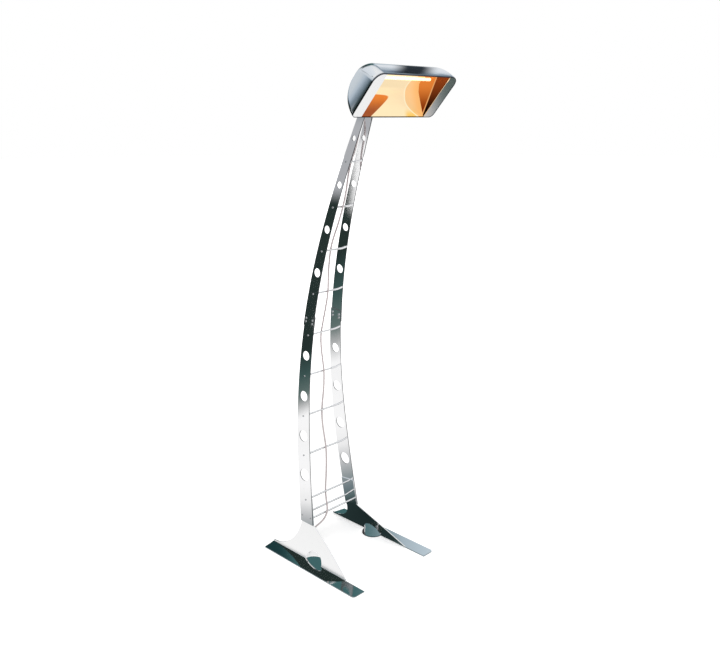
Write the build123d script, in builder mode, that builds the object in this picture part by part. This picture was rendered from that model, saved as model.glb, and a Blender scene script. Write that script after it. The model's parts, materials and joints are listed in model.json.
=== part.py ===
"""Infrared patio heater on a bowed ladder of steel straps: millimetres, +Z up, front towards -Y.

The origin is on the floor, in the middle of the box around the object without its cord.
"""
import os
from math import atan, atan2, cos, hypot, pi, radians, sin, sqrt, tan

from build123d import *

os.makedirs("parts", exist_ok=True)

# ---------------------------------------------------------------- driving sizes
SIDES = ((-1, "left"), (1, "right"))
SHEET = 4.0                 # steel of the straps and feet

# the bow: both straps follow one curve in side view, and lean together towards the top
BOW_BACK = 202.5            # rearmost point of the strap's centre line
BOW_HEIGHT = 750.0          # height of that point
BOW_BEND = (185.0, 66.5, -42.0)   # forward bend one metre from there: square, cube and fourth power
GAP_AT_FLOOR = 160.4        # half the distance between the straps' joint planes, at floor level
GAP_LOSS = 0.0740           # what that half distance loses per millimetre of height
STRAP_WIDTH = 80.0          # width of a strap up to TAPER_START
TAPER_START = 560.0
TAPER = 0.0343              # width lost per millimetre of height above TAPER_START
STRAP_LOW = 153.0           # lower end of the lower straps
OVERLAP = 49.0              # height over which the two straps overlap
OVERLAP_DOWN = 2.8714       # its top lies this far below the hole's place that it takes
TOP_UPRIGHT = 40.0          # the upper straps run upright from this far below the pivot
TOP_BEND_RADIUS = 30.0
OUTLINE_STEPS = 8           # stretches that a strap's edge is drawn in

# round holes and rungs share one pitch, counted down the straps
FIRST_HOLE_DOWN = 153.1     # from the pivot down to the first hole
PITCH = 186.0
HOLES_ABOVE_COUNT = 4       # holes above the overlap, which takes the next place
HOLE_TO_FOOT = 60.0         # a hole keeps this far above the foot
HOLE_SMALLEST = 21.0
HOLE_GROWTH = 5.3           # each hole is this much wider than the one above it
RUNG = 8.0                  # rod diameter
LOW_RUNGS = ((168.0, 266.5), (188.8, 183.3), (131.0, 184.6))   # Y and Z of the rungs at the feet

# fasteners
RUNG_SCREW = 4.0
RUNG_SCREW_HEAD = 8.0
RUNG_SCREW_LENGTH = 22.0
SPLICE_SCREW = 5.0
SPLICE_SCREW_HEAD = 9.0
SPLICE_NUT = 8.0            # across flats
SPLICE_NUT_HEIGHT = 4.0
SPLICE_ROWS = (31.5, 16.5)  # of screws, below the top of the overlap
SPLICE_SPREAD = 20.0        # from the strap's centre line to each screw
HEAD_SHARE = 0.32           # height of a screw head as a share of its diameter
HOLE_PLAY = 0.2             # radial room of a screw in its hole
FIT_PLAY = 0.05             # radial room of a shaft in its bore

# feet
NECK_TOP = 278.0
WEB_TOP = 150.0             # the neck ends and the web starts to spread outwards
FOLD_X = 199.5              # where the web meets the floor, from the middle
FLANGE_OUT = 266.0          # outer edge of the flange, from the middle
FLANGE_FRONT = -267.0
FLANGE_BACK = 342.2
FLANGE_SLANT = 12.0         # the outer corner at the back stands forward by this much
FLANGE_CORNER = 15.0
WEB_FRONT = (-150.0, 8.0)   # tip of the web in front, Y and Z
WEB_FRONT_MIDDLE = (-24.0, 81.0)
WEB_BACK = ((211.0, 77.0), (239.0, 44.0), (272.0, 24.0), (305.0, 13.0))
LIP_END = (344.0, 9.0)
FOLD_RADIUS = 6.0
FOLD_RUN = 12.0             # part of the flange that is drawn with the web
MOON_Y = 61.0
MOON_RADIUS = 53.0
MOON_KERF = 0.6             # the hole in the web is cut this much wider than the tab

# head: u across, v up along the opening, b back from it
HEAD_AHEAD = 170.65         # from the pivot forward to the middle of the opening
HEAD_BELOW = 13.9           # and down to it
HEAD_TILT = 43.05           # how far the axis of the opening points down
SHELL_WALL = 1.5
# depth, reach past the lamp, height above and below the axis, upper and lower corner radius
SHELL_SECTIONS = ((0, 43, 91, 91, 35, 18), (22, 42, 89, 90, 35, 20), (43, 39, 84, 87, 36, 24),
                  (65, 33, 76, 82, 38, 30), (86, 23, 62, 73, 40, 36), (98, 15, 50, 64, 38, 38),
                  (108, -6, 23, 45, 28, 28))
BEZEL_WIDTH = 50.0
BEZEL_DEPTH = 1.0           # how far the bezel strips lie behind the rim
BEZEL_SHEET = 1.5
REFLECTOR = 1.0             # sheet of the reflector and its ends
TROUGH = ((3.0, -88.0), (46.0, -60.0), (86.0, -32.0), (96.0, 0.0), (80.0, 42.0), (3.0, 88.0))
TROUGH_RADII = (40.0, 40.0, 24.0, 24.0)
LIP = 10.0
END_INSET = 9.5             # from the lamp's end to the inner face of the reflector's end
FOLD_SHARE = 0.7935         # the crease in the reflector's ends meets the trough at this share of it
REAR_SHARES = (0.71, 0.61, 0.52, 0.43, 0.32, 0.19)   # and these are the rear facet's corners
FACET_INSET = 1.9           # room between the ends and the trough
END_SPLAY = 12.0            # degrees between the two facets
PLATE_INSET = 4.0           # from the lamp's end to the inner face of the holders' plate
PLATE_SHEET = 1.5
LAMP_B = 66.0
LAMP_V = 24.0
LAMP = 11.0
LAMP_WALL = 1.0
LAMP_HALF = 174.0
FILAMENT = 2.0
CAP = (8.0, 12.0)           # lamp cap along b and v
CAP_LENGTH = 16.0
HOLDER = (18.0, 30.0)       # lamp holder along b and v
HOLDER_LENGTH = 25.0
HOLDER_SCREW = 3.0
HOLDER_SCREW_SPREAD = 11.0
HOLDER_SCREW_LENGTH = 30.0
LEAD = 2.6
LEAD_STRAIGHT = 12.0        # the lamp leads leave the terminal block square for this far
LEAD_CROSSING = 30.0        # and have reached the holes' height this far from it
LEAD_SETBACK = 6.0          # from a lamp holder's outer end to its lead
LEAD_HOLE = (84.0, -44.0)   # b and v of the hole for the lamp leads in the plates
TERMINAL = (14.0, 12.0, 34.0)   # along b, v and u
TERMINAL_U = 55.0
TERMINAL_V = -34.0

# tilt pivot at the top of the straps
PIVOT_Z = 1990.0
BOLT = 7.9
BOLT_HEX = 13.0
BOLT_HEAD = 5.3
LOCK_NUT = 8.0
WASHER = 1.6
WASHER_OUT = 17.0
FRICTION_WASHER = 1.5
FRICTION_OUT = 26.0
SLEEVE_OUT = 13.0
EAR = 3.0
EAR_END = 15.0              # radius of the bracket's ears around the bolt
BRACKET_U = 38.0            # half width of the bracket's base
BRACKET_V = (-40.0, 18.0)
BRACKET_SCREW = 5.0
BRACKET_SCREW_HEAD = 9.5
BRACKET_SCREWS = ((-28.0, -30.0), (28.0, -30.0), (-28.0, 8.0), (28.0, 8.0))
BRACKET_SCREW_LENGTH = 10.0
BRACKET_NUT = 8.0
BRACKET_NUT_HEIGHT = 3.5

# switch on the back of the head
SWITCH_U = -74.0
SWITCH_V = -30.0
SWITCH_HALF = (11.5, 7.0)   # half size of the body along u and v
SWITCH_RIM = 2.0
SWITCH_RIM_HEIGHT = 2.0
SWITCH_DEPTH = 16.0
SWITCH_CAVITY = (10.2, 5.4)
SWITCH_CAVITY_DEPTH = 11.5
ROCKER_HALF = (8.6, 5.0)
ROCKER_PIVOT = 4.5          # below the rim of the housing
ROCKER_TILT = 10.0          # degrees to either side
ROCKER_PIN = 2.4

# cord
CORD = 7.5
GLAND_U = 60.0
GLAND_B = 80.0
GLAND_NOSE = 18.0
GLAND_THREAD = 12.0
GLAND_HEX = 17.0
GLAND_NUT_HEIGHT = 4.0
GLAND_FLANGE = 5.0
GLAND_SEAT = 0.05           # the shell is curved where the gland and its nut lie against it
GLAND_NUT_SEAT = 0.65
CORD_POINTS = (             # from the gland down the ladder, to the clip and the coil
    (48.0, -82.0, 1944.0), (26.0, -50.0, 1924.0), (9.0, -42.0, 1898.0), (5.2, -37.0, 1853.0),
    (8.2, -14.0, 1795.0), (3.6, 4.6, 1750.0), (-2.0, 16.5, 1695.0), (1.6, 29.5, 1640.0),
    (0.8, 48.5, 1576.0), (2.6, 80.0, 1505.0), (2.0, 105.0, 1455.0), (-1.2, 123.6, 1402.0),
    (-1.6, 135.0, 1325.0), (2.2, 143.5, 1268.0), (4.0, 147.5, 1218.0), (8.4, 165.0, 1160.0),
    (7.8, 182.5, 1098.0), (7.6, 194.5, 1051.0), (1.8, 196.5, 1022.0), (2.6, 198.0, 967.0),
    (6.8, 193.5, 903.0), (11.6, 190.5, 853.0), (15.9, 199.0, 768.0), (12.4, 212.0, 673.5),
    (5.4, 204.0, 604.0), (4.2, 189.0, 532.0), (5.6, 179.5, 475.0), (2.4, 177.5, 372.0),
    (-4.4, 181.8, 265.0), (-27.0, 151.0, 228.0), (-48.0, 120.5, 201.0), (-61.0, 119.0, 170.0),
    (-87.0, 119.5, 151.0), (-119.0, 122.0, 140.0), (-139.0, 130.5, 120.5), (-150.0, 134.4, 97.5),
    (-158.2, 135.6, 74.5), (-165.4, 137.4, 52.5), (-171.0, 142.0, 33.4), (-174.0, 151.4, 18.4),
    (-175.4, 165.2, 8.7))
GLAND_RUN = 34.0            # first run, straight out of the gland
COIL_RUN = 15.0             # last run, straight into the coil
HEAD_RUN_COUNT = 5          # the cord's nodes part half way along the run that ends at this point
TOWER_RUN_COUNT = 35
CLIP_RUN_COUNT = 37         # the clip holds the run that ends at this point
CLIP_LENGTH = 8.0
CLIP_WALL = 2.0
CLIP_ROOM = 0.4
CLIP_BASE = 16.0
COIL_CENTRE = (-132.0, 211.0)
COIL_RADIUS = 49.5
COIL_START = 190.0          # degrees from +X where the outer turn starts; it runs clockwise
COIL_GAP = 0.6
COIL_HALF_TURNS = 6         # in the lower layer
TAIL_START = 15.0           # first run of the tail, straight out of the coil
TAIL_POINTS = ((-103.6, 266.9, 14.6), (-89.2, 268.9, 18.5))
TAIL_END = 14.0             # last run of the tail, along the plug
PLUG_HEADING = 10.0         # degrees from +X
PLUG_RADIUS = 18.5
PLUG_BODY = 34.0
PLUG_NECK = 11.0
RELIEF = 18.0
RELIEF_RADII = (5.5, 8.5)
PIN = 4.8
PIN_LENGTH = 19.0
PIN_SPREAD = 9.5

# ---------------------------------------------------------------- the bow and the straps' planes
LEAN = atan(GAP_LOSS)
SHEET_X = SHEET / cos(LEAN)     # a sheet's thickness measured along X


def bow_y(z):
    """Y of the straps' centre line at a height."""
    h = (z - BOW_HEIGHT) / 1000
    return BOW_BACK - sum(bend * h ** power for power, bend in enumerate(BOW_BEND, 2))


def bow_slope(z):
    """How much Y grows per millimetre of height."""
    h = (z - BOW_HEIGHT) / 1000
    return -sum(power * bend * h ** (power - 1) for power, bend in enumerate(BOW_BEND, 2)) / 1000


def strap_width(z):
    return STRAP_WIDTH - TAPER * max(0.0, z - TAPER_START)


def beside(z, distance):
    """The point of the YZ plane that lies a distance behind the centre line, square to it."""
    across = distance / hypot(1, bow_slope(z))
    return bow_y(z) + across, z - across * bow_slope(z)


def down(z, distance, steps=30):
    """The height that lies a distance further down the centre line."""
    for _ in range(steps):
        z -= distance / steps / hypot(1, bow_slope(z))
    return z


def gap_x(z):
    """Half the distance between the planes where upper and lower straps meet."""
    return GAP_AT_FLOOR - GAP_LOSS * z


def outward(side):
    """Direction square to a strap, away from the middle."""
    return Vector(side * cos(LEAN), 0, sin(LEAN))


def on_strap(side, y, z, sheets):
    """Plane on a strap's face, a number of sheets outside the joint plane, facing outwards."""
    return Plane(origin=(side * (gap_x(z) + sheets * SHEET_X), y, z), x_dir=(0, 1, 0),
                 z_dir=outward(side))


def rung_end(side, rung):
    """Plane of the face that a rung's end meets."""
    y, z, inside = rung
    return on_strap(side, y, z, -inside)


def strap_outline(low, high):
    """Side view of a strap between two heights, as a face in the YZ plane."""
    heights = [low + (high - low) * i / OUTLINE_STEPS for i in range(OUTLINE_STEPS + 1)]
    with BuildSketch(Plane.YZ) as outline:
        with BuildLine():
            back = Spline(*[beside(z, strap_width(z) / 2) for z in heights])
            front = Spline(*[beside(z, -strap_width(z) / 2) for z in heights])
            Line(back @ 0, front @ 0)
            Line(back @ 1, front @ 1)
        make_face()
    return outline.sketch


PIVOT_Y = bow_y(PIVOT_Z)
TOP_BEND = PIVOT_Z - TOP_UPRIGHT
TOP_X = gap_x(TOP_BEND) + SHEET_X / 2      # middle of the upright ends
TOP_IN = TOP_X - SHEET / 2
TOP_OUT = TOP_X + SHEET / 2
ALL_X = 2 * FLANGE_OUT                     # reaches past everything along X

FIRST_HOLE = PIVOT_Z - FIRST_HOLE_DOWN
OVERLAP_HIGH = down(FIRST_HOLE, PITCH * HOLES_ABOVE_COUNT) - OVERLAP_DOWN
OVERLAP_LOW = OVERLAP_HIGH - OVERLAP
HOLES = []
RUNGS = []                                 # Y, Z and how many sheets lie inside the joint plane
height, place = FIRST_HOLE, 0
while height > NECK_TOP + HOLE_TO_FOOT:
    if place:
        between = down(FIRST_HOLE, PITCH * (place - 0.5))
        RUNGS.append((bow_y(between), between, 0 if between > OVERLAP_HIGH else 1))
    if place != HOLES_ABOVE_COUNT:
        HOLES.append((height, HOLE_SMALLEST + HOLE_GROWTH * len(HOLES)))
    place += 1
    height = down(FIRST_HOLE, PITCH * place)
RUNGS += [(y, z, 2) for y, z in LOW_RUNGS]
SPLICES = [beside(OVERLAP_HIGH - row, across)
           for row in SPLICE_ROWS for across in (-SPLICE_SPREAD, SPLICE_SPREAD)]

# ---------------------------------------------------------------- straps
for side, name in SIDES:
    profile = strap_outline(OVERLAP_LOW, PIVOT_Z)
    with BuildPart() as upper_strap:
        extrude(profile, amount=ALL_X, both=True)
        with BuildSketch(Plane.YZ):
            with Locations((PIVOT_Y, PIVOT_Z)):
                Circle(strap_width(PIVOT_Z) / 2)
        extrude(amount=ALL_X, both=True)
        with BuildSketch(Plane.XZ):
            with BuildLine():
                FilletPolyline((side * (gap_x(0) + SHEET_X / 2), 0),
                               (side * TOP_X, TOP_BEND),
                               (side * TOP_X, PIVOT_Z + STRAP_WIDTH), radius=TOP_BEND_RADIUS)
            trace(line_width=SHEET)
        extrude(amount=ALL_X, both=True, mode=Mode.INTERSECT)
        for height, diameter in HOLES[:HOLES_ABOVE_COUNT]:
            with BuildSketch(on_strap(side, bow_y(height), height, 0)):
                Circle(diameter / 2)
            extrude(amount=2 * SHEET, both=True, mode=Mode.SUBTRACT)
        for rung in RUNGS:
            if rung[2] == 0:
                with BuildSketch(rung_end(side, rung)):
                    Circle(RUNG_SCREW / 2 + HOLE_PLAY)
                extrude(amount=2 * SHEET, both=True, mode=Mode.SUBTRACT)
        for y, z in SPLICES:
            with BuildSketch(on_strap(side, y, z, 0)):
                Circle(SPLICE_SCREW / 2 + HOLE_PLAY)
            extrude(amount=2 * SHEET, both=True, mode=Mode.SUBTRACT)
        with BuildSketch(Plane.YZ):
            with Locations((PIVOT_Y, PIVOT_Z)):
                Circle(BOLT / 2 + FIT_PLAY)
        extrude(amount=ALL_X, both=True, mode=Mode.SUBTRACT)
    upper_strap.part.label = f"upper_strap_{name}"
    export_step(upper_strap.part, f"parts/upper_strap_{name}.step")

for side, name in SIDES:
    profile = strap_outline(STRAP_LOW - STRAP_WIDTH / 4, OVERLAP_HIGH)
    with BuildPart() as lower_strap:
        extrude(profile, amount=ALL_X, both=True)
        with BuildSketch(Plane.XZ):
            with BuildLine():
                Line((side * (gap_x(STRAP_LOW) - SHEET_X / 2), STRAP_LOW),
                     (side * (gap_x(TOP_BEND) - SHEET_X / 2), TOP_BEND))
            trace(line_width=SHEET)
        extrude(amount=ALL_X, both=True, mode=Mode.INTERSECT)
        for height, diameter in HOLES[HOLES_ABOVE_COUNT:]:
            with BuildSketch(on_strap(side, bow_y(height), height, 0)):
                Circle(diameter / 2)
            extrude(amount=2 * SHEET, both=True, mode=Mode.SUBTRACT)
        for rung in RUNGS:
            if rung[2] > 0:
                with BuildSketch(rung_end(side, rung)):
                    Circle(RUNG_SCREW / 2 + HOLE_PLAY)
                extrude(amount=3 * SHEET, both=True, mode=Mode.SUBTRACT)
        for y, z in SPLICES:
            with BuildSketch(on_strap(side, y, z, 0)):
                Circle(SPLICE_SCREW / 2 + HOLE_PLAY)
            extrude(amount=2 * SHEET, both=True, mode=Mode.SUBTRACT)
    lower_strap.part.label = f"lower_strap_{name}"
    export_step(lower_strap.part, f"parts/lower_strap_{name}.step")

# ---------------------------------------------------------------- feet
WEB_X = gap_x(WEB_TOP) - 1.5 * SHEET_X     # middle of the neck, and of the web at its top
WEB_LEAN = atan2(FOLD_X - WEB_X, WEB_TOP - SHEET / 2)


def web_plane(side, y, distance):
    """Plane in the middle of the web, a distance up from the fold, facing outwards and up."""
    return Plane(origin=(side * (FOLD_X - distance * sin(WEB_LEAN)), y,
                         SHEET / 2 + distance * cos(WEB_LEAN)),
                 x_dir=(0, 1, 0), z_dir=(side * cos(WEB_LEAN), 0, sin(WEB_LEAN)))


with BuildSketch(Plane.YZ) as foot_side:
    with BuildLine():
        neck_heights = (NECK_TOP, (NECK_TOP + WEB_TOP) / 2, WEB_TOP)
        neck_front = Spline(*[beside(z, -STRAP_WIDTH / 2) for z in neck_heights])
        neck_back = Spline(*[beside(z, STRAP_WIDTH / 2) for z in neck_heights])
        Line(neck_front @ 0, neck_back @ 0)
        ThreePointArc(neck_front @ 1, WEB_FRONT_MIDDLE, WEB_FRONT)
        Line(WEB_FRONT, (WEB_FRONT[0], -SHEET))
        Spline(neck_back @ 1, *WEB_BACK, tangents=(neck_back % 1, (1, -0.2)))
        Line(WEB_BACK[-1], LIP_END)
        Line(LIP_END, (LIP_END[0], -SHEET))
        Line((LIP_END[0], -SHEET), (WEB_FRONT[0], -SHEET))
    make_face()

for side, name in SIDES:
    with BuildPart() as foot:
        with BuildSketch(Plane.XZ):
            with BuildLine():
                FilletPolyline((side * (gap_x(NECK_TOP * 2) - 1.5 * SHEET_X), NECK_TOP * 2),
                               (side * WEB_X, WEB_TOP), (side * FOLD_X, SHEET / 2),
                               (side * (FOLD_X + FOLD_RUN), SHEET / 2), radius=FOLD_RADIUS)
            trace(line_width=SHEET)
        extrude(amount=2 * FLANGE_BACK, both=True)
        extrude(foot_side.sketch, amount=ALL_X, both=True, mode=Mode.INTERSECT)
        with BuildSketch(Plane.XY):
            with Locations((side * (FOLD_X + FOLD_RUN), 0)):
                Rectangle(2 * FOLD_RUN + ALL_X, 2 * FLANGE_BACK)
        extrude(amount=2 * NECK_TOP, mode=Mode.INTERSECT)
        with BuildSketch(web_plane(side, MOON_Y, 0)):
            Circle(MOON_RADIUS + MOON_KERF)
        extrude(amount=3 * SHEET, both=True, mode=Mode.SUBTRACT)
        with BuildSketch(Plane.XY) as flange:
            with BuildLine():
                Polyline((side * FOLD_X, FLANGE_FRONT), (side * FLANGE_OUT, FLANGE_FRONT),
                         (side * FLANGE_OUT, FLANGE_BACK - FLANGE_SLANT),
                         (side * (FOLD_X + FOLD_RUN / 2), FLANGE_BACK),
                         (side * (FOLD_X + FOLD_RUN / 2), WEB_FRONT[1] + WEB_FRONT[0]),
                         (side * FOLD_X, WEB_FRONT[1] + WEB_FRONT[0]), close=True)
            make_face()
            corner = (side * FLANGE_OUT, FLANGE_FRONT, 0)
            fillet(flange.vertices().sort_by_distance(corner)[0], radius=FLANGE_CORNER)
            with Locations((side * FOLD_X, MOON_Y)):
                Circle(MOON_RADIUS)
        extrude(amount=SHEET)
        for rung in RUNGS:
            if rung[2] == 2:
                with BuildSketch(rung_end(side, rung)):
                    Circle(RUNG_SCREW / 2 + HOLE_PLAY)
                extrude(amount=2 * SHEET, both=True, mode=Mode.SUBTRACT)
    foot.part.label = f"foot_{name}"
    export_step(foot.part, f"parts/foot_{name}.step")

# ---------------------------------------------------------------- rungs and their screws
for number, place in enumerate(RUNGS, 1):
    with BuildPart() as rung:
        with BuildSketch(Plane(origin=(0, *place[:2]), x_dir=(0, 1, 0), z_dir=(1, 0, 0))):
            Circle(RUNG / 2)
        extrude(amount=gap_x(0), both=True)
        for side, _ in SIDES:
            split(bisect_by=rung_end(side, place), keep=Keep.BOTTOM)
            with BuildSketch(rung_end(side, place)):
                Circle(RUNG_SCREW / 2 + FIT_PLAY)
            extrude(amount=-RUNG_SCREW_LENGTH, mode=Mode.SUBTRACT)
    rung.part.label = f"rung_{number:02d}"
    export_step(rung.part, f"parts/rung_{number:02d}.step")

for side, name in SIDES:
    with BuildPart() as rung_screws:
        for place in RUNGS:
            outer = rung_end(side, place).offset(SHEET * max(1, place[2]))
            with BuildSketch(outer):
                Circle(RUNG_SCREW_HEAD / 2)
            extrude(amount=RUNG_SCREW_HEAD * HEAD_SHARE, taper=15)
            with BuildSketch(outer):
                Circle(RUNG_SCREW / 2)
            extrude(amount=-RUNG_SCREW_LENGTH)
    rung_screws.part.label = f"rung_screws_{name}"
    export_step(rung_screws.part, f"parts/rung_screws_{name}.step")

# ---------------------------------------------------------------- fasteners of the overlap
with BuildPart() as splice_screws:
    for side, _ in SIDES:
        for y, z in SPLICES:
            with BuildSketch(on_strap(side, y, z, 0).offset(SHEET)):
                Circle(SPLICE_SCREW_HEAD / 2)
            extrude(amount=SPLICE_SCREW_HEAD * HEAD_SHARE, taper=15)
            with BuildSketch(on_strap(side, y, z, 0).offset(SHEET)):
                Circle(SPLICE_SCREW / 2)
            extrude(amount=-(2 * SHEET + SPLICE_NUT_HEIGHT + 1))
splice_screws.part.label = "splice_screws"
export_step(splice_screws.part, "parts/splice_screws.step")

with BuildPart() as splice_nuts:
    for side, _ in SIDES:
        for y, z in SPLICES:
            with BuildSketch(on_strap(side, y, z, 0).offset(-SHEET)):
                RegularPolygon(SPLICE_NUT / 2, 6, major_radius=False)
                Circle(SPLICE_SCREW / 2 + FIT_PLAY, mode=Mode.SUBTRACT)
            extrude(amount=-SPLICE_NUT_HEIGHT)
splice_nuts.part.label = "splice_nuts"
export_step(splice_nuts.part, "parts/splice_nuts.step")

# ---------------------------------------------------------------- tilt pivot
EAR_OUT = TOP_IN - FRICTION_WASHER
EAR_IN = EAR_OUT - EAR


def at_pivot(x):
    """Plane across the pivot at a place along X, facing +X."""
    return Plane(origin=(x, PIVOT_Y, PIVOT_Z), x_dir=(0, 1, 0), z_dir=(1, 0, 0))


with BuildPart() as pivot_bolt:
    with BuildSketch(at_pivot(-TOP_OUT - WASHER)):
        RegularPolygon(BOLT_HEX / 2, 6, major_radius=False)
    extrude(amount=-BOLT_HEAD)
    with BuildSketch(at_pivot(-TOP_OUT - WASHER)):
        Circle(BOLT / 2)
    extrude(amount=2 * TOP_OUT + 2 * WASHER + LOCK_NUT + 1)
pivot_bolt.part.label = "pivot_bolt"
export_step(pivot_bolt.part, "parts/pivot_bolt.step")

with BuildPart() as pivot_nut:
    with BuildSketch(at_pivot(TOP_OUT + WASHER)):
        RegularPolygon(BOLT_HEX / 2, 6, major_radius=False)
        Circle(BOLT / 2 + FIT_PLAY, mode=Mode.SUBTRACT)
    extrude(amount=LOCK_NUT)
pivot_nut.part.label = "pivot_nut"
export_step(pivot_nut.part, "parts/pivot_nut.step")

with BuildPart() as pivot_washers:
    for side, _ in SIDES:
        with BuildSketch(at_pivot(side * TOP_OUT)):
            Circle(WASHER_OUT / 2)
            Circle(BOLT / 2 + FIT_PLAY, mode=Mode.SUBTRACT)
        extrude(amount=side * WASHER)
pivot_washers.part.label = "pivot_washers"
export_step(pivot_washers.part, "parts/pivot_washers.step")

with BuildPart() as friction_washers:
    for side, _ in SIDES:
        with BuildSketch(at_pivot(side * TOP_IN)):
            Circle(FRICTION_OUT / 2)
            Circle(BOLT / 2 + FIT_PLAY, mode=Mode.SUBTRACT)
        extrude(amount=-side * FRICTION_WASHER)
friction_washers.part.label = "friction_washers"
export_step(friction_washers.part, "parts/friction_washers.step")

with BuildPart() as pivot_sleeve:
    with BuildSketch(at_pivot(-EAR_IN)):
        Circle(SLEEVE_OUT / 2)
        Circle(BOLT / 2 + FIT_PLAY, mode=Mode.SUBTRACT)
    extrude(amount=2 * EAR_IN)
pivot_sleeve.part.label = "pivot_sleeve"
export_step(pivot_sleeve.part, "parts/pivot_sleeve.step")

# ---------------------------------------------------------------- the head's own frame
TILT = radians(HEAD_TILT)
UP = Vector(0, -sin(TILT), cos(TILT))      # v
BACK = Vector(0, cos(TILT), sin(TILT))     # b
MIDDLE = Vector(0, PIVOT_Y - HEAD_AHEAD, PIVOT_Z - HEAD_BELOW)
OPENING = Plane(origin=MIDDLE, x_dir=(1, 0, 0), z_dir=-BACK)
SHELL = [(depth, LAMP_HALF + past, *rest) for depth, past, *rest in SHELL_SECTIONS]
SHELL_DEPTH = SHELL[-1][0]
END_U = LAMP_HALF - END_INSET
PLATE_U = LAMP_HALF - PLATE_INSET
to_pivot = Vector(0, PIVOT_Y, PIVOT_Z) - MIDDLE
PIVOT_B = to_pivot.dot(BACK)
PIVOT_V = to_pivot.dot(UP)


def head_point(u, v, b):
    return MIDDLE + Vector(u, 0, 0) + UP * v + BACK * b


def head_side(u):
    """Plane across the head at a place along u, with b to the right and v up."""
    return Plane(origin=head_point(u, 0, 0), x_dir=BACK, z_dir=(1, 0, 0))


def head_face(b):
    """Plane parallel to the opening, facing the front, with u to the right and v up."""
    return OPENING.offset(-b)


def rounded_outline(half, above, below, upper_radius, lower_radius):
    """Outline of the shell at one depth: four lines and four arcs."""
    Line((-half + upper_radius, above), (half - upper_radius, above))
    CenterArc((half - upper_radius, above - upper_radius), upper_radius, 0, 90)
    Line((half, above - upper_radius), (half, -below + lower_radius))
    CenterArc((half - lower_radius, -below + lower_radius), lower_radius, -90, 90)
    Line((half - lower_radius, -below), (-half + lower_radius, -below))
    CenterArc((-half + lower_radius, -below + lower_radius), lower_radius, 180, 90)
    Line((-half, -below + lower_radius), (-half, above - upper_radius))
    CenterArc((-half + upper_radius, above - upper_radius), upper_radius, 90, 90)


def wall_v(depth, u):
    """Upper and lower v of the shell's outer face at a depth and a place along u."""
    for near, far in zip(SHELL, SHELL[1:]):
        if depth <= far[0]:
            share = (depth - near[0]) / (far[0] - near[0])
            half, above, below, upper, lower = [a + (c - a) * share
                                                for a, c in zip(near[1:], far[1:])]
            break
    in_upper = max(0.0, abs(u) - half + upper)
    in_lower = max(0.0, abs(u) - half + lower)
    return (above - upper + sqrt(upper ** 2 - in_upper ** 2),
            -below + lower - sqrt(lower ** 2 - in_lower ** 2))


# ---------------------------------------------------------------- head shell and bezel strips
with BuildPart() as head_shell:
    for depth, half, above, below, upper, lower in SHELL:
        with BuildSketch(head_face(depth)):
            with BuildLine():
                rounded_outline(half, above, below, upper, lower)
            make_face()
    loft()
    gland_axis = Axis(head_point(GLAND_U, 0, GLAND_B), -UP)
    gland_hits = head_shell.part.find_intersection_points(gland_axis)
    gland_spot, gland_normal = min(gland_hits, key=lambda hit: (hit[0] - MIDDLE).dot(UP))
    gland_plane = Plane(origin=gland_spot, x_dir=(1, 0, 0), z_dir=gland_normal)
    inner_depth = (SHELL_DEPTH - SHELL_WALL) / SHELL_DEPTH
    for depth, half, above, below, upper, lower in SHELL:
        with BuildSketch(head_face(depth * inner_depth)):
            with BuildLine():
                rounded_outline(half - SHELL_WALL, above - SHELL_WALL, below - SHELL_WALL,
                                upper - SHELL_WALL, lower - SHELL_WALL)
            make_face()
    loft(mode=Mode.SUBTRACT)
    with BuildSketch(head_face(SHELL_DEPTH)):
        with Locations(*BRACKET_SCREWS):
            Circle(BRACKET_SCREW / 2 + HOLE_PLAY)
        with Locations((SWITCH_U, SWITCH_V)):
            Rectangle(2 * (SWITCH_HALF[0] + HOLE_PLAY), 2 * (SWITCH_HALF[1] + HOLE_PLAY))
    extrude(amount=4 * SHELL_WALL, both=True, mode=Mode.SUBTRACT)
    wall_hits = head_shell.part.find_intersection_points(Axis(gland_spot, -gland_normal))
    gland_wall = min(d for d in [(spot - gland_spot).dot(-gland_normal) for spot, _ in wall_hits]
                     if d > SHELL_WALL / 2)
    with BuildSketch(gland_plane):
        Circle(GLAND_THREAD / 2 + FIT_PLAY)
    extrude(amount=6 * SHELL_WALL, both=True, mode=Mode.SUBTRACT)
head_shell.part.label = "head_shell"
export_step(head_shell.part, "parts/head_shell.step")
print("gland at", gland_spot, "facing", gland_normal, f"through {gland_wall:.2f} mm")

BEZEL_ROOM = 0.2
for side, name in SIDES:
    half, above, below, upper, lower = SHELL[0][1:]
    inset = SHELL_WALL + BEZEL_ROOM
    with BuildPart() as bezel:
        with BuildSketch(head_face(BEZEL_DEPTH)):
            with BuildLine():
                rounded_outline(half - inset, above - inset, below - inset,
                                upper - inset, lower - inset)
            make_face()
            with Locations((side * (half - inset), 0)):
                Rectangle(2 * (BEZEL_WIDTH - inset), 3 * above, mode=Mode.INTERSECT)
        extrude(amount=-BEZEL_SHEET)
    bezel.part.label = f"bezel_{name}"
    export_step(bezel.part, f"parts/bezel_{name}.step")

# ---------------------------------------------------------------- reflector
trough_way = FilletPolyline(*TROUGH, radius=list(TROUGH_RADII))
with BuildPart() as reflector:
    with BuildSketch(head_side(-END_U)) as trough:
        with BuildLine():
            add(trough_way)
        trace(line_width=REFLECTOR)
        for v_sign in (-1, 1):
            front, level = TROUGH[0 if v_sign < 0 else -1]
            with Locations((front + LIP / 2, level)):
                Rectangle(LIP, REFLECTOR)
    extrude(amount=2 * END_U)
reflector.part.label = "reflector"
export_step(reflector.part, "parts/reflector.step")


def inset_towards(point):
    """A place on the trough, moved inwards so that the facet stays clear of the sheet."""
    middle_b = TROUGH[3][0] / 2
    share = 1 - 2 * FACET_INSET / hypot(point.X - middle_b, point.Y)
    return middle_b + (point.X - middle_b) * share, point.Y * share


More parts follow.
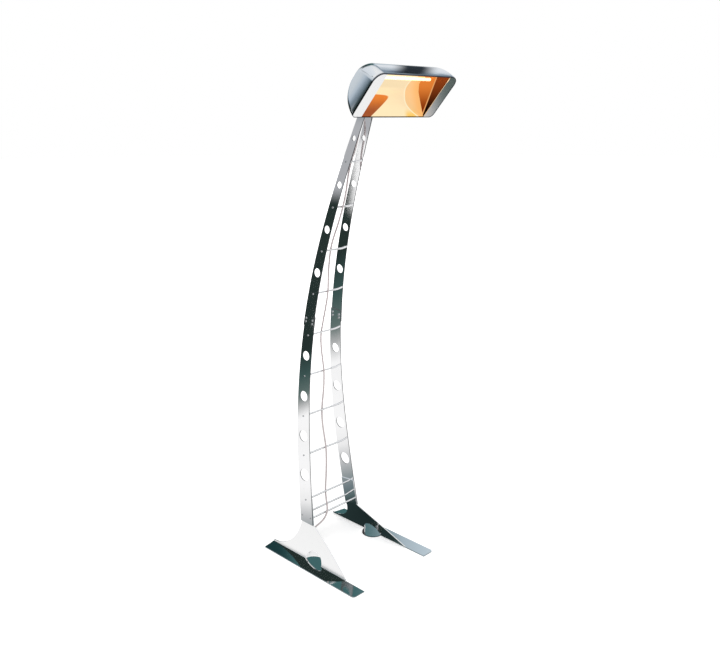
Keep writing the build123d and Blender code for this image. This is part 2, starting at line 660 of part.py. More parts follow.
END_FOLD = inset_towards(trough_way @ FOLD_SHARE)
FOLD_FOOT = (TROUGH[0][0] + 1.5, TROUGH[0][1] + 2.0)     # lower end of the crease, b and v
fold_run = (END_FOLD[0] - FOLD_FOOT[0], END_FOLD[1] - FOLD_FOOT[1])
fold_length = hypot(*fold_run)


def facet_u(b, v):
    """How far the rear facet has come inwards at a place behind the crease."""
    behind = ((b - FOLD_FOOT[0]) * fold_run[1] - (v - FOLD_FOOT[1]) * fold_run[0]) / fold_length
    return behind * tan(radians(END_SPLAY))


REAR_CORNERS = [inset_towards(trough_way @ share) for share in REAR_SHARES]
for side, name in SIDES:
    rear = [END_FOLD, *REAR_CORNERS, FOLD_FOOT]
    rear_points = [head_point(side * (END_U - facet_u(b, v)), v, b) for b, v in rear]
    rear_facet = Face(Wire.make_polygon(rear_points))
    if rear_facet.normal_at().X * side < 0:
        rear_facet = -rear_facet
    crease_top, crease_foot = rear_points[0], rear_points[-1]
    outer_edges = [crease_top + way * REFLECTOR for way in (Vector(side, 0, 0), rear_facet.normal_at())]
    crease = Face(Wire.make_polygon([crease_top, *outer_edges]))
    with BuildPart() as reflector_end:
        with BuildSketch(head_side(side * END_U)):
            with BuildLine():
                Polyline(FOLD_FOOT, END_FOLD, (TROUGH[-1][0] + 1.5, TROUGH[-1][1] - 2.0), close=True)
            make_face()
        extrude(amount=side * REFLECTOR)
        extrude(rear_facet, amount=REFLECTOR)
        extrude(crease, amount=(crease_foot - crease_top).length, dir=crease_foot - crease_top)
        with BuildSketch(head_face(FOLD_FOOT[0])):
            with Locations((side * (END_U + PLATE_U) / 2, 0)):
                Rectangle(PLATE_U - END_U, 2 * TROUGH[-1][1] - 5)
        extrude(amount=-REFLECTOR)
        with BuildSketch(head_side(side * END_U)):
            with Locations((LAMP_B, LAMP_V)):
                Circle(LAMP / 2 + 1)
        extrude(amount=END_U, both=True, mode=Mode.SUBTRACT)
    reflector_end.part.label = f"reflector_end_{name}"
    export_step(reflector_end.part, f"parts/reflector_end_{name}.step")

# ---------------------------------------------------------------- plates behind the bezels
PLATE_ROOM = 1.4
PLATE_DEPTHS = (6.0, 22.0, 43.0, 65.0, 86.0, 94.0)
for side, name in SIDES:
    walls = [(b, *wall_v(b, PLATE_U + PLATE_SHEET)) for b in PLATE_DEPTHS]
    top = [(b, above - SHELL_WALL - PLATE_ROOM) for b, above, _ in walls]
    bottom = [(b, below + SHELL_WALL + PLATE_ROOM) for b, _, below in reversed(walls)]
    with BuildPart() as end_plate:
        with BuildSketch(head_side(side * PLATE_U)):
            with BuildLine():
                Polyline(*top, *bottom, close=True)
            make_face()
            with Locations((LAMP_B, LAMP_V)):
                Circle(LAMP / 2 + 1, mode=Mode.SUBTRACT)
            with Locations(LEAD_HOLE):
                Circle(LEAD, mode=Mode.SUBTRACT)
            with Locations(*[(LAMP_B, LAMP_V + s * HOLDER_SCREW_SPREAD) for s in (-1, 1)]):
                Circle(HOLDER_SCREW / 2 + HOLE_PLAY, mode=Mode.SUBTRACT)
        extrude(amount=side * PLATE_SHEET)
    end_plate.part.label = f"end_plate_{name}"
    export_step(end_plate.part, f"parts/end_plate_{name}.step")

# ---------------------------------------------------------------- lamp
HOLDER_U = PLATE_U + PLATE_SHEET
with BuildPart() as lamp_tube:
    with BuildSketch(head_side(-LAMP_HALF)):
        with Locations((LAMP_B, LAMP_V)):
            Circle(LAMP / 2)
            Circle(LAMP / 2 - LAMP_WALL, mode=Mode.SUBTRACT)
    extrude(amount=2 * LAMP_HALF)
lamp_tube.part.label = "lamp_tube"
export_step(lamp_tube.part, "parts/lamp_tube.step")

with BuildPart() as lamp_filament:
    with BuildSketch(head_side(-LAMP_HALF)):
        with Locations((LAMP_B, LAMP_V)):
            Circle(FILAMENT / 2)
    extrude(amount=2 * LAMP_HALF)
lamp_filament.part.label = "lamp_filament"
export_step(lamp_filament.part, "parts/lamp_filament.step")

with BuildPart() as lamp_caps:
    for side, _ in SIDES:
        with BuildSketch(head_side(side * LAMP_HALF)):
            with Locations((LAMP_B, LAMP_V)):
                Rectangle(*CAP)
        extrude(amount=side * CAP_LENGTH)
lamp_caps.part.label = "lamp_caps"
export_step(lamp_caps.part, "parts/lamp_caps.step")

for side, name in SIDES:
    with BuildPart() as lamp_holder:
        with BuildSketch(head_side(side * HOLDER_U)):
            with Locations((LAMP_B, LAMP_V)):
                Rectangle(*HOLDER)
            with Locations(*[(LAMP_B, LAMP_V + s * HOLDER_SCREW_SPREAD) for s in (-1, 1)]):
                Circle(HOLDER_SCREW / 2 + HOLE_PLAY, mode=Mode.SUBTRACT)
        extrude(amount=side * HOLDER_LENGTH)
        with BuildSketch(head_side(side * HOLDER_U)):
            with Locations((LAMP_B, LAMP_V)):
                Rectangle(CAP[0] + 2 * HOLE_PLAY, CAP[1] + 2 * HOLE_PLAY)
                Circle(LAMP / 2 + HOLE_PLAY)
        extrude(amount=side * (LAMP_HALF + CAP_LENGTH - HOLDER_U), mode=Mode.SUBTRACT)
    lamp_holder.part.label = f"lamp_holder_{name}"
    export_step(lamp_holder.part, f"parts/lamp_holder_{name}.step")

with BuildPart() as holder_screws:
    for side, _ in SIDES:
        spots = [(LAMP_B, LAMP_V + s * HOLDER_SCREW_SPREAD) for s in (-1, 1)]
        with BuildSketch(head_side(side * (HOLDER_U + HOLDER_LENGTH))):
            with Locations(*spots):
                Circle(HOLDER_SCREW)
        extrude(amount=side * HOLDER_SCREW * 2 * HEAD_SHARE)
        with BuildSketch(head_side(side * (HOLDER_U + HOLDER_LENGTH))):
            with Locations(*spots):
                Circle(HOLDER_SCREW / 2)
        extrude(amount=-side * HOLDER_SCREW_LENGTH)
holder_screws.part.label = "holder_screws"
export_step(holder_screws.part, "parts/holder_screws.step")

# ---------------------------------------------------------------- wiring inside the head
TERMINAL_BACK = SHELL_DEPTH - SHELL_WALL
with BuildPart() as terminal_block:
    with BuildSketch(head_side(TERMINAL_U - TERMINAL[2] / 2)):
        with Locations((TERMINAL_BACK - TERMINAL[0] / 2, TERMINAL_V)):
            Rectangle(TERMINAL[0], TERMINAL[1])
    extrude(amount=TERMINAL[2])
terminal_block.part.label = "terminal_block"
export_step(terminal_block.part, "parts/terminal_block.step")


def lead(points):
    """Solid of one insulated wire, bent at each point; used outside the builders."""
    path = FilletPolyline(*points, radius=2 * LEAD)
    start = Plane(origin=path @ 0, z_dir=path % 0)
    return sweep(start * Circle(LEAD / 2), path=path)


LEAD_B = TERMINAL_BACK - TERMINAL[0] / 2
lamp_wires = []
for side, _ in SIDES:
    inner_u = TERMINAL_U + side * TERMINAL[2] / 2
    outer_u = side * (HOLDER_U + HOLDER_LENGTH - LEAD_SETBACK)
    lamp_wires.append(lead([head_point(inner_u, TERMINAL_V, LEAD_B),
                            head_point(inner_u + side * LEAD_STRAIGHT, TERMINAL_V, LEAD_B),
                            head_point(inner_u + side * LEAD_CROSSING, LEAD_HOLE[1], LEAD_HOLE[0]),
                            head_point(outer_u, LEAD_HOLE[1], LEAD_HOLE[0]),
                            head_point(outer_u, LEAD_HOLE[1] / 2, LAMP_B),
                            head_point(outer_u, LAMP_V - HOLDER[1] / 2, LAMP_B)]))
with BuildPart() as lamp_leads:
    add(lamp_wires)
lamp_leads.part.label = "lamp_leads"
export_step(lamp_leads.part, "parts/lamp_leads.step")

GLAND_INSIDE = gland_wall + GLAND_NUT_HEIGHT + 2
supply_wires = []
for step in (-1, 0, 1):
    beside_axis = Vector(step * LEAD * 1.3, 0, 0)
    start = gland_plane.origin - gland_normal * GLAND_INSIDE + beside_axis
    entry = head_point(TERMINAL_U + step * TERMINAL[2] / 4, TERMINAL_V - TERMINAL[1] / 2, LEAD_B)
    supply_wires.append(lead([start, start - gland_normal * 6, entry - UP * 8, entry]))
with BuildPart() as supply_leads:
    add(supply_wires)
supply_leads.part.label = "supply_leads"
export_step(supply_leads.part, "parts/supply_leads.step")

with BuildPart() as cable_gland:
    with BuildSketch(gland_plane.offset(-GLAND_INSIDE)):
        Circle(GLAND_THREAD / 2)
    extrude(amount=GLAND_INSIDE + GLAND_SEAT)
    with BuildSketch(gland_plane.offset(GLAND_SEAT)):
        RegularPolygon(GLAND_HEX / 2, 6, major_radius=False)
    extrude(amount=GLAND_FLANGE)
    with BuildSketch(gland_plane.offset(GLAND_SEAT + GLAND_FLANGE)):
        Circle(GLAND_HEX / 2 - 0.5)
    extrude(amount=GLAND_NOSE - GLAND_FLANGE - GLAND_SEAT, taper=12)
cable_gland.part.label = "cable_gland"
export_step(cable_gland.part, "parts/cable_gland.step")

with BuildPart() as gland_nut:
    with BuildSketch(gland_plane.offset(-gland_wall - GLAND_NUT_SEAT)):
        RegularPolygon(GLAND_HEX / 2, 6, major_radius=False)
        Circle(GLAND_THREAD / 2 + FIT_PLAY, mode=Mode.SUBTRACT)
    extrude(amount=-GLAND_NUT_HEIGHT)
gland_nut.part.label = "gland_nut"
export_step(gland_nut.part, "parts/gland_nut.step")

# ---------------------------------------------------------------- bracket on the head's back
with BuildPart() as head_bracket:
    bracket_v = (BRACKET_V[0] + BRACKET_V[1]) / 2
    with BuildSketch(head_face(SHELL_DEPTH + EAR)):
        with Locations((0, bracket_v)):
            RectangleRounded(2 * BRACKET_U, BRACKET_V[1] - BRACKET_V[0], 6)
    extrude(amount=EAR)
    for side, _ in SIDES:
        with BuildSketch(head_side(side * EAR_IN)):
            with Locations((PIVOT_B, PIVOT_V)):
                Circle(EAR_END)
            with Locations((SHELL_DEPTH + 2 * EAR, BRACKET_V[0] + 6)):
                Circle(EAR)
            with Locations((SHELL_DEPTH + 2 * EAR, BRACKET_V[1] - 6)):
                Circle(EAR)
            make_hull()
            with BuildLine():
                Polyline((SHELL_DEPTH + EAR / 2, BRACKET_V[0] + 3), (SHELL_DEPTH + 3 * EAR, BRACKET_V[0] + 3),
                         (SHELL_DEPTH + 3 * EAR, BRACKET_V[1] - 3), (SHELL_DEPTH + EAR / 2, BRACKET_V[1] - 3),
                         close=True)
            make_face()
            with Locations((PIVOT_B, PIVOT_V)):
                Circle(BOLT / 2 + FIT_PLAY, mode=Mode.SUBTRACT)
        extrude(amount=side * EAR)
    with BuildSketch(head_face(SHELL_DEPTH + EAR)):
        with Locations(*BRACKET_SCREWS):
            Circle(BRACKET_SCREW / 2 + HOLE_PLAY)
    extrude(amount=EAR, mode=Mode.SUBTRACT)
head_bracket.part.label = "head_bracket"
export_step(head_bracket.part, "parts/head_bracket.step")

with BuildPart() as bracket_screws:
    with BuildSketch(head_face(SHELL_DEPTH + EAR)):
        with Locations(*BRACKET_SCREWS):
            Circle(BRACKET_SCREW_HEAD / 2)
    extrude(amount=-BRACKET_SCREW_HEAD * HEAD_SHARE, taper=15)
    with BuildSketch(head_face(SHELL_DEPTH + EAR)):
        with Locations(*BRACKET_SCREWS):
            Circle(BRACKET_SCREW / 2)
    extrude(amount=BRACKET_SCREW_LENGTH)
bracket_screws.part.label = "bracket_screws"
export_step(bracket_screws.part, "parts/bracket_screws.step")

with BuildPart() as bracket_nuts:
    with BuildSketch(head_face(SHELL_DEPTH - SHELL_WALL)):
        with Locations(*BRACKET_SCREWS):
            RegularPolygon(BRACKET_NUT / 2, 6, major_radius=False)
        with Locations(*BRACKET_SCREWS):
            Circle(BRACKET_SCREW / 2 + FIT_PLAY, mode=Mode.SUBTRACT)
    extrude(amount=BRACKET_NUT_HEIGHT)
bracket_nuts.part.label = "bracket_nuts"
export_step(bracket_nuts.part, "parts/bracket_nuts.step")

# ---------------------------------------------------------------- switch
SWITCH_TOP = SHELL_DEPTH + SWITCH_RIM_HEIGHT


def switch_face(b):
    """Plane at a depth, centred on the switch, facing out of the head's back, with v up."""
    return Plane(origin=head_point(SWITCH_U, SWITCH_V, b), x_dir=(-1, 0, 0), z_dir=BACK)


def switch_section(v):
    """Plane across v through the switch's pivot, with u to the left and b up."""
    return Plane(origin=head_point(SWITCH_U, SWITCH_V + v, SWITCH_TOP - ROCKER_PIVOT),
                 x_dir=(-1, 0, 0), z_dir=-UP)


with BuildPart() as switch_housing:
    with BuildSketch(switch_face(SHELL_DEPTH)):
        RectangleRounded(2 * (SWITCH_HALF[0] + SWITCH_RIM), 2 * (SWITCH_HALF[1] + SWITCH_RIM), 1.5)
    extrude(amount=SWITCH_RIM_HEIGHT)
    with BuildSketch(switch_face(SHELL_DEPTH)):
        Rectangle(2 * SWITCH_HALF[0], 2 * SWITCH_HALF[1])
    extrude(amount=-SWITCH_DEPTH)
    with BuildSketch(switch_face(SWITCH_TOP)):
        Rectangle(2 * SWITCH_CAVITY[0], 2 * SWITCH_CAVITY[1])
    extrude(amount=-SWITCH_CAVITY_DEPTH, mode=Mode.SUBTRACT)
    with BuildSketch(switch_section(0)):
        Circle(ROCKER_PIN / 2 + FIT_PLAY)
    extrude(amount=SWITCH_CAVITY[1] + 1.2, both=True, mode=Mode.SUBTRACT)
switch_housing.part.label = "switch_housing"
export_step(switch_housing.part, "parts/switch_housing.step")

ROCKER_CREST = 2.2          # middle of the rocker above the rim
with BuildPart() as switch_rocker:
    with BuildSketch(switch_section(0)) as rocker_side:
        with BuildLine():
            wing = ROCKER_HALF[0]
            rise = ROCKER_PIVOT + 1.0
            Polyline((-wing, rise), (0, ROCKER_PIVOT + ROCKER_CREST - 1.6), (wing, rise),
                     (wing - 1.2, -0.5), (0, -3.5), (-wing + 1.2, -0.5), close=True)
        make_face()
        Rectangle(0.1, 0.1)
    extrude(amount=ROCKER_HALF[1], both=True)
    with BuildSketch(switch_section(0)):
        Circle(ROCKER_PIN / 2)
    extrude(amount=SWITCH_CAVITY[1] + 1.0, both=True)
rocker_axis = Axis(head_point(SWITCH_U, SWITCH_V, SWITCH_TOP - ROCKER_PIVOT), UP)
switch_rocker.part = switch_rocker.part.rotate(rocker_axis, ROCKER_TILT)
switch_rocker.part.label = "switch_rocker"
export_step(switch_rocker.part, "parts/switch_rocker.step")

# ---------------------------------------------------------------- the cord's route
def corner_radii(points):
    """The arc at each corner: 0.45 of its shorter run over the tangent of half its turn."""
    radii = []
    for before, here, after in zip(points, points[1:], points[2:]):
        turn = radians((here - before).get_angle(after - here))
        radii.append(0.45 * min((here - before).length, (after - here).length) / tan(turn / 2))
    return radii


def way_length(way):
    return sum(edge.length for edge in way.edges())


def report(name, points, radii, part, length):
    runs = [(b - a).length for a, b in zip(points, points[1:])]
    plain = pi * CORD ** 2 / 4 * length
    print(f"{name}: {length:.0f} mm, runs {min(runs):.0f} to {max(runs):.0f}, "
          f"least radius {min(radii):.1f}, volume {part.volume / plain:.4f} of section times length")


COIL_MIDDLE = Vector(*COIL_CENTRE, CORD / 2)
coil_angle = radians(COIL_START)
COIL_SPOKE = Vector(cos(coil_angle), sin(coil_angle), 0)
COIL_WAY = Vector(sin(coil_angle), -cos(coil_angle), 0)
coil_start = COIL_MIDDLE + COIL_SPOKE * COIL_RADIUS - COIL_WAY * CORD
gland_end = gland_plane.origin + gland_normal * GLAND_NOSE
ROUTE = [gland_end, gland_end + gland_normal * GLAND_RUN,
         *[Vector(*point) for point in CORD_POINTS],
         coil_start - COIL_WAY * COIL_RUN, coil_start]
RADII = [0.0, *corner_radii(ROUTE), 0.0]
upper_end = (ROUTE[HEAD_RUN_COUNT - 1] + ROUTE[HEAD_RUN_COUNT]) / 2
lower_end = (ROUTE[TOWER_RUN_COUNT - 1] + ROUTE[TOWER_RUN_COUNT]) / 2
print("cord radii:", " ".join(f"{radius:.0f}" for radius in RADII[1:-1]))

with BuildPart() as cord_head:
    with BuildLine() as head_way:
        FilletPolyline(*ROUTE[:HEAD_RUN_COUNT], upper_end, radius=RADII[1:HEAD_RUN_COUNT])
    with BuildSketch(Plane(origin=head_way.line @ 0, z_dir=head_way.line % 0)):
        Circle(CORD / 2)
    sweep()
cord_head.part.label = "cord_head"
export_step(cord_head.part, "parts/cord_head.step")
report("cord_head", ROUTE[:HEAD_RUN_COUNT + 1], RADII[1:HEAD_RUN_COUNT], cord_head.part, way_length(head_way))

with BuildPart() as cord_tower:
    with BuildLine() as tower_way:
        FilletPolyline(upper_end, *ROUTE[HEAD_RUN_COUNT:TOWER_RUN_COUNT], lower_end,
                       radius=RADII[HEAD_RUN_COUNT:TOWER_RUN_COUNT])
    with BuildSketch(Plane(origin=tower_way.line @ 0, z_dir=tower_way.line % 0)):
        Circle(CORD / 2)
    sweep()
cord_tower.part.label = "cord_tower"
export_step(cord_tower.part, "parts/cord_tower.step")
report("cord_tower", ROUTE[HEAD_RUN_COUNT - 1:TOWER_RUN_COUNT + 1], RADII[HEAD_RUN_COUNT:TOWER_RUN_COUNT],
       cord_tower.part, way_length(tower_way))

with BuildPart() as cord_floor:
    with BuildLine() as floor_way:
        FilletPolyline(lower_end, *ROUTE[TOWER_RUN_COUNT:], radius=RADII[TOWER_RUN_COUNT:-1])
    with BuildSketch(Plane(origin=floor_way.line @ 0, z_dir=floor_way.line % 0)):
        Circle(CORD / 2)
    sweep()
cord_floor.part.label = "cord_floor"
export_step(cord_floor.part, "parts/cord_floor.step")
report("cord_floor", ROUTE[TOWER_RUN_COUNT - 1:], RADII[TOWER_RUN_COUNT:-1], cord_floor.part,
       way_length(floor_way))

# ---------------------------------------------------------------- coil of spare cord
COIL_PITCH = CORD + COIL_GAP
CLIMB_SLOPE = 0.2           # steepest part of the climb to the upper layer


def biarc(start, start_way, end, end_way):
    """Two arcs that leave one point and reach another along given directions."""
    chord = end - start
    both = start_way + end_way
    room = 2 * (1 - start_way.dot(end_way))
    if room < 1e-9:
        reach = chord.dot(chord) / (4 * chord.dot(end_way))
    else:
        slant = chord.dot(both)
        reach = (sqrt(slant ** 2 + room * chord.dot(chord)) - slant) / room
    middle = (start + end + (start_way - end_way) * reach) / 2
    middle_way = (end - end_way * reach - start - start_way * reach).normalized()
    TangentArc(start, middle, tangent=start_way)
    TangentArc(middle, end, tangent=middle_way)


with BuildPart() as cord_coil:
    with BuildLine() as coil_way:
        here = coil_start + COIL_WAY * CORD
        Line(coil_start, here)
        way, spoke = COIL_WAY, COIL_SPOKE
        for half_turn in range(COIL_HALF_TURNS):
            there = here - spoke * (2 * COIL_RADIUS - COIL_PITCH * half_turn)
            TangentArc(here, there, tangent=way)
            here, way, spoke = there, -way, -spoke
        climb_radius = COIL_RADIUS - COIL_PITCH * COIL_HALF_TURNS / 2
        halfway = here - spoke * climb_radius + way * climb_radius + Vector(0, 0, COIL_PITCH / 2)
        halfway_way = (-spoke + Vector(0, 0, CLIMB_SLOPE)).normalized()
        there = here - spoke * 2 * climb_radius + Vector(0, 0, COIL_PITCH)
        biarc(here, way, halfway, halfway_way)
        biarc(halfway, halfway_way, there, -way)
        here, way, spoke = there, -way, -spoke
        for half_turn in range(COIL_HALF_TURNS - 1):
            there = here - spoke * 2 * (climb_radius + COIL_PITCH * (half_turn + 1) / 2)
            TangentArc(here, there, tangent=way)
            here, way, spoke = there, -way, -spoke
        there = here + (way - spoke) * COIL_RADIUS
        TangentArc(here, there, tangent=way)
        coil_end_way = -spoke
        coil_end = there + coil_end_way * CORD
        Line(there, coil_end)
    with BuildSketch(Plane(origin=coil_start, z_dir=COIL_WAY)):
        Circle(CORD / 2)
    sweep()
cord_coil.part.label = "cord_coil"
export_step(cord_coil.part, "parts/cord_coil.step")

coil_length = coil_way.wires()[0].length
samples = int(coil_length / 2)
spots = [coil_way.wires()[0] @ (i / samples) for i in range(samples + 1)]
least = min((a - b).length for i, a in enumerate(spots) for b in spots[i + 8:])
print(f"cord_coil: {coil_length:.0f} mm, least gap to itself {least - CORD:.2f} mm, "
      f"volume {cord_coil.part.volume / (pi * CORD ** 2 / 4 * coil_length):.4f}")

# ---------------------------------------------------------------- tail of the cord, plug
plug_angle = radians(PLUG_HEADING)
PLUG_WAY = Vector(cos(plug_angle), sin(plug_angle), 0)
TAIL = [coil_end, coil_end + coil_end_way * TAIL_START, *[Vector(*point) for point in TAIL_POINTS]]
TAIL.append(TAIL[-1] + PLUG_WAY * TAIL_END)
with BuildPart() as cord_tail:
    with BuildLine() as tail_way:
        FilletPolyline(*TAIL, radius=corner_radii(TAIL))
    with BuildSketch(Plane(origin=tail_way.line @ 0, z_dir=tail_way.line % 0)):
        Circle(CORD / 2)
    sweep()
cord_tail.part.label = "cord_tail"
export_step(cord_tail.part, "parts/cord_tail.step")
report("cord_tail", TAIL, corner_radii(TAIL), cord_tail.part, way_length(tail_way))
total = way_length(head_way) + way_length(tower_way) + way_length(floor_way)
print(f"whole cord: {total + coil_length + way_length(tail_way):.0f} mm")

PLUG_PLANE = Plane(origin=TAIL[-1], x_dir=(-sin(plug_angle), cos(plug_angle), 0), z_dir=PLUG_WAY)
with BuildPart() as plug_relief:
    with BuildSketch(PLUG_PLANE):
        Circle(RELIEF_RADII[0])
    with BuildSketch(PLUG_PLANE.offset(RELIEF)):
        Circle(RELIEF_RADII[1])
    loft()
plug_relief.part.label = "plug_relief"
export_step(plug_relief.part, "parts/plug_relief.step")

with BuildPart() as plug_body:
    with BuildSketch(PLUG_PLANE.offset(RELIEF)):
        Circle(PLUG_NECK)
    with BuildSketch(PLUG_PLANE.offset(RELIEF + PLUG_BODY / 2)):
        Circle(PLUG_RADIUS - 0.5)
    loft(ruled=True)
    with BuildSketch(PLUG_PLANE.offset(RELIEF + PLUG_BODY / 2)):
        Circle(PLUG_RADIUS)
    extrude(amount=PLUG_BODY / 2)
    with BuildSketch(PLUG_PLANE.offset(RELIEF + PLUG_BODY)):
        with Locations((PLUG_RADIUS, 0), (-PLUG_RADIUS, 0)):
            Rectangle(3, 8)
    extrude(amount=-PLUG_BODY / 2 - 1, mode=Mode.SUBTRACT)
plug_body.part.label = "plug_body"
export_step(plug_body.part, "parts/plug_body.step")

with BuildPart() as plug_pins:
    with BuildSketch(PLUG_PLANE.offset(RELIEF + PLUG_BODY)):
        with Locations((0, PIN_SPREAD), (0, -PIN_SPREAD)):
            Circle(PIN / 2)
    extrude(amount=PIN_LENGTH)
plug_pins.part.label = "plug_pins"
export_step(plug_pins.part, "parts/plug_pins.step")

# ---------------------------------------------------------------- clip on the left foot's web
clip_at = (ROUTE[CLIP_RUN_COUNT - 1] + ROUTE[CLIP_RUN_COUNT]) / 2
clip_way = (ROUTE[CLIP_RUN_COUNT] - ROUTE[CLIP_RUN_COUNT - 1]).normalized()
web_middle = web_plane(-1, 0, 0)
clip_height = (web_middle.origin - clip_at).dot(web_middle.z_dir) - SHEET / 2
clip_foot = clip_at + web_middle.z_dir * clip_height
along_web = (clip_way - web_middle.z_dir * clip_way.dot(web_middle.z_dir)).normalized()
with BuildPart() as cord_clip:
    with BuildSketch(Plane(origin=clip_foot, x_dir=along_web, z_dir=-web_middle.z_dir)):
        Rectangle(CLIP_LENGTH, CLIP_BASE)
    extrude(amount=CLIP_WALL)
    with BuildSketch(Plane(origin=clip_foot, x_dir=along_web, z_dir=-web_middle.z_dir)):
        Rectangle(CLIP_LENGTH, CORD)
    extrude(amount=clip_height)
    with BuildSketch(Plane(origin=clip_at, z_dir=clip_way)):
        Circle(CORD / 2 + CLIP_ROOM + CLIP_WALL)
    extrude(amount=CLIP_LENGTH / 2, both=True)
    with BuildSketch(Plane(origin=clip_at, z_dir=clip_way)):
        Circle(CORD / 2 + CLIP_ROOM)
    extrude(amount=CLIP_LENGTH, both=True, mode=Mode.SUBTRACT)
cord_clip.part.label = "cord_clip"
export_step(cord_clip.part, "parts/cord_clip.step")
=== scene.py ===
# %% [markdown]
# # An infrared patio heater on a bowed ladder of polished steel
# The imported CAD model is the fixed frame: straps, feet, rungs, head, lamp and fasteners come from
# it with their real shapes. This notebook gives each of them its finish, models what a solid can
# only hint at, such as the cord, its plug and the lamp's coiled wire, and sets up the studio.

# %% Load the frame
import json
from math import cos, pi, radians, sin

import bpy
from mathutils import Matrix, Vector


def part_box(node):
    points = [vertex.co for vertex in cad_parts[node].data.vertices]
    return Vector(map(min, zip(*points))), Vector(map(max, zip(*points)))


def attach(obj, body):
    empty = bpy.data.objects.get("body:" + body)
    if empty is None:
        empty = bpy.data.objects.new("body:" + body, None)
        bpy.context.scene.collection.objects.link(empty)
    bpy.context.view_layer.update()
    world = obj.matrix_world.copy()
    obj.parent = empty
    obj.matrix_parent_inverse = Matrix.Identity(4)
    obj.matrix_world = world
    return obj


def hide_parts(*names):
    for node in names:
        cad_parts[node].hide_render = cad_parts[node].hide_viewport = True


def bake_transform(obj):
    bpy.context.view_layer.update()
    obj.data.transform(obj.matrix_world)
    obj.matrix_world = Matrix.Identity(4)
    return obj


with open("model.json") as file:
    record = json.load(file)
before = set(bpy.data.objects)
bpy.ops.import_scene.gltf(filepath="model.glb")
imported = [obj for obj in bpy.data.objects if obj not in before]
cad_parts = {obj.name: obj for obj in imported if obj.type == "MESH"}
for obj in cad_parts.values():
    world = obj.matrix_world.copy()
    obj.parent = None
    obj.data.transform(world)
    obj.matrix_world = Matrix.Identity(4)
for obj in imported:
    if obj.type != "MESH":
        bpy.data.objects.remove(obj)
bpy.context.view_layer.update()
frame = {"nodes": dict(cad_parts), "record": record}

# %% [markdown]
# ## The camera
# The photograph was taken from the height of the head, from the front left, looking down. The
# middle of the lens lies below the middle of the frame. Turning the camera would bring the frame
# back, but it would also change how the straps lean and narrow, so the sensor is shifted instead.

# %% Camera
PHOTO_SIZE = (720, 660)
FOCAL = 759.9                    # in pixels of the photograph
PRINCIPAL = (358.0, 418.5)
CAMERA_AT = (-2.1988, -2.2006, 1.9099)
HEADING, PITCH, ROLL = -45.42, 21.61, -0.14    # in degrees

lens = bpy.data.cameras.new("photo_camera")
lens.sensor_width = 36.0
lens.lens = FOCAL / PHOTO_SIZE[0] * lens.sensor_width
lens.shift_x = (PHOTO_SIZE[0] / 2 - PRINCIPAL[0]) / PHOTO_SIZE[0]
lens.shift_y = (PRINCIPAL[1] - PHOTO_SIZE[1] / 2) / PHOTO_SIZE[0]
camera = bpy.data.objects.new("photo_camera", lens)
bpy.context.scene.collection.objects.link(camera)
camera.matrix_world = (Matrix.Translation(CAMERA_AT)
                       @ Matrix.Rotation(radians(HEADING), 4, "Z")
                       @ Matrix.Rotation(radians(90 - PITCH), 4, "X")
                       @ Matrix.Rotation(radians(ROLL), 4, "Z"))
bpy.context.scene.camera = camera
bpy.context.scene.view_settings.view_transform = "Standard"
print("lens", round(lens.lens, 2), "mm")

# %% [markdown]
# ## Shader maths that reads like maths
# A finish is built from many small nodes. They could be made and linked one by one, but then a
# mask of five sums takes a page. Wrapping a socket in a class with + - * / lets a finish be written
# as a formula, and one method makes every other kind of node.

# %% Sockets and finishes
class Signal:
    """One output socket. Adding or multiplying signals adds the Math nodes."""

    def __init__(self, finish, socket):
        self.finish, self.socket = finish, socket

    def _maths(self, operation, first, second):
        return self.finish.node("Math", {"operation": operation}, {0: first, 1: second})

    def __add__(self, other):
        return self._maths("ADD", self, other)

    def __sub__(self, other):
        return self._maths("SUBTRACT", self, other)

    def __rsub__(self, other):
        return self._maths("SUBTRACT", other, self)

    def __mul__(self, other):
        return self._maths("MULTIPLY", self, other)

    def __truediv__(self, other):
        return self._maths("DIVIDE", self, other)

    __radd__, __rmul__ = __add__, __mul__

    def power(self, other):
        return self._maths("POWER", self, other)

    def least(self, other):
        return self._maths("MINIMUM", self, other)

    def most(self, other):
        return self._maths("MAXIMUM", self, other)

    def size(self):
        return self._maths("ABSOLUTE", self, 0.0)

    def step(self, low, high):
        """0 below low, 1 above high and smooth between them."""
        return self.finish.node("MapRange", {"interpolation_type": "SMOOTHSTEP"},
                                {"Value": self, "From Min": low, "From Max": high})


class Nodes:
    """A node tree of a material or of the world."""

    def __init__(self, tree):
        self.tree = tree
        tree.nodes.clear()

    def node(self, kind, settings=(), inputs=(), output=0):
        made = self.tree.nodes.new("ShaderNode" + kind)
        for name, value in dict(settings).items():
            if name == "stops":
                elements = made.color_ramp.elements
                elements[0].position, elements[0].color = value[0][0], (*value[0][1], 1)
                elements[-1].position, elements[-1].color = value[-1][0], (*value[-1][1], 1)
                for place, colour in value[1:-1]:
                    elements.new(place).color = (*colour, 1)
            else:
                setattr(made, name, value)
        for key, value in dict(inputs).items():
            if isinstance(value, Signal):
                self.tree.links.new(value.socket, made.inputs[key])
            elif made.inputs[key].type == "RGBA":
                made.inputs[key].default_value = (*value[:3], 1)
            else:
                made.inputs[key].default_value = value
        return Signal(self, made.outputs[output])

    def mixed(self, share, first, second):
        """A colour between two colours."""
        return self.node("Mix", {"data_type": "RGBA"}, {0: share, 6: first, 7: second}, output=2)

    def light_path(self, name):
        return self.node("LightPath", output=name)

    def axes(self, place):
        """The three numbers of a place or a direction, as signals."""
        split = self.node("SeparateXYZ", {}, {0: place}).socket.node
        return [Signal(self, number) for number in split.outputs]


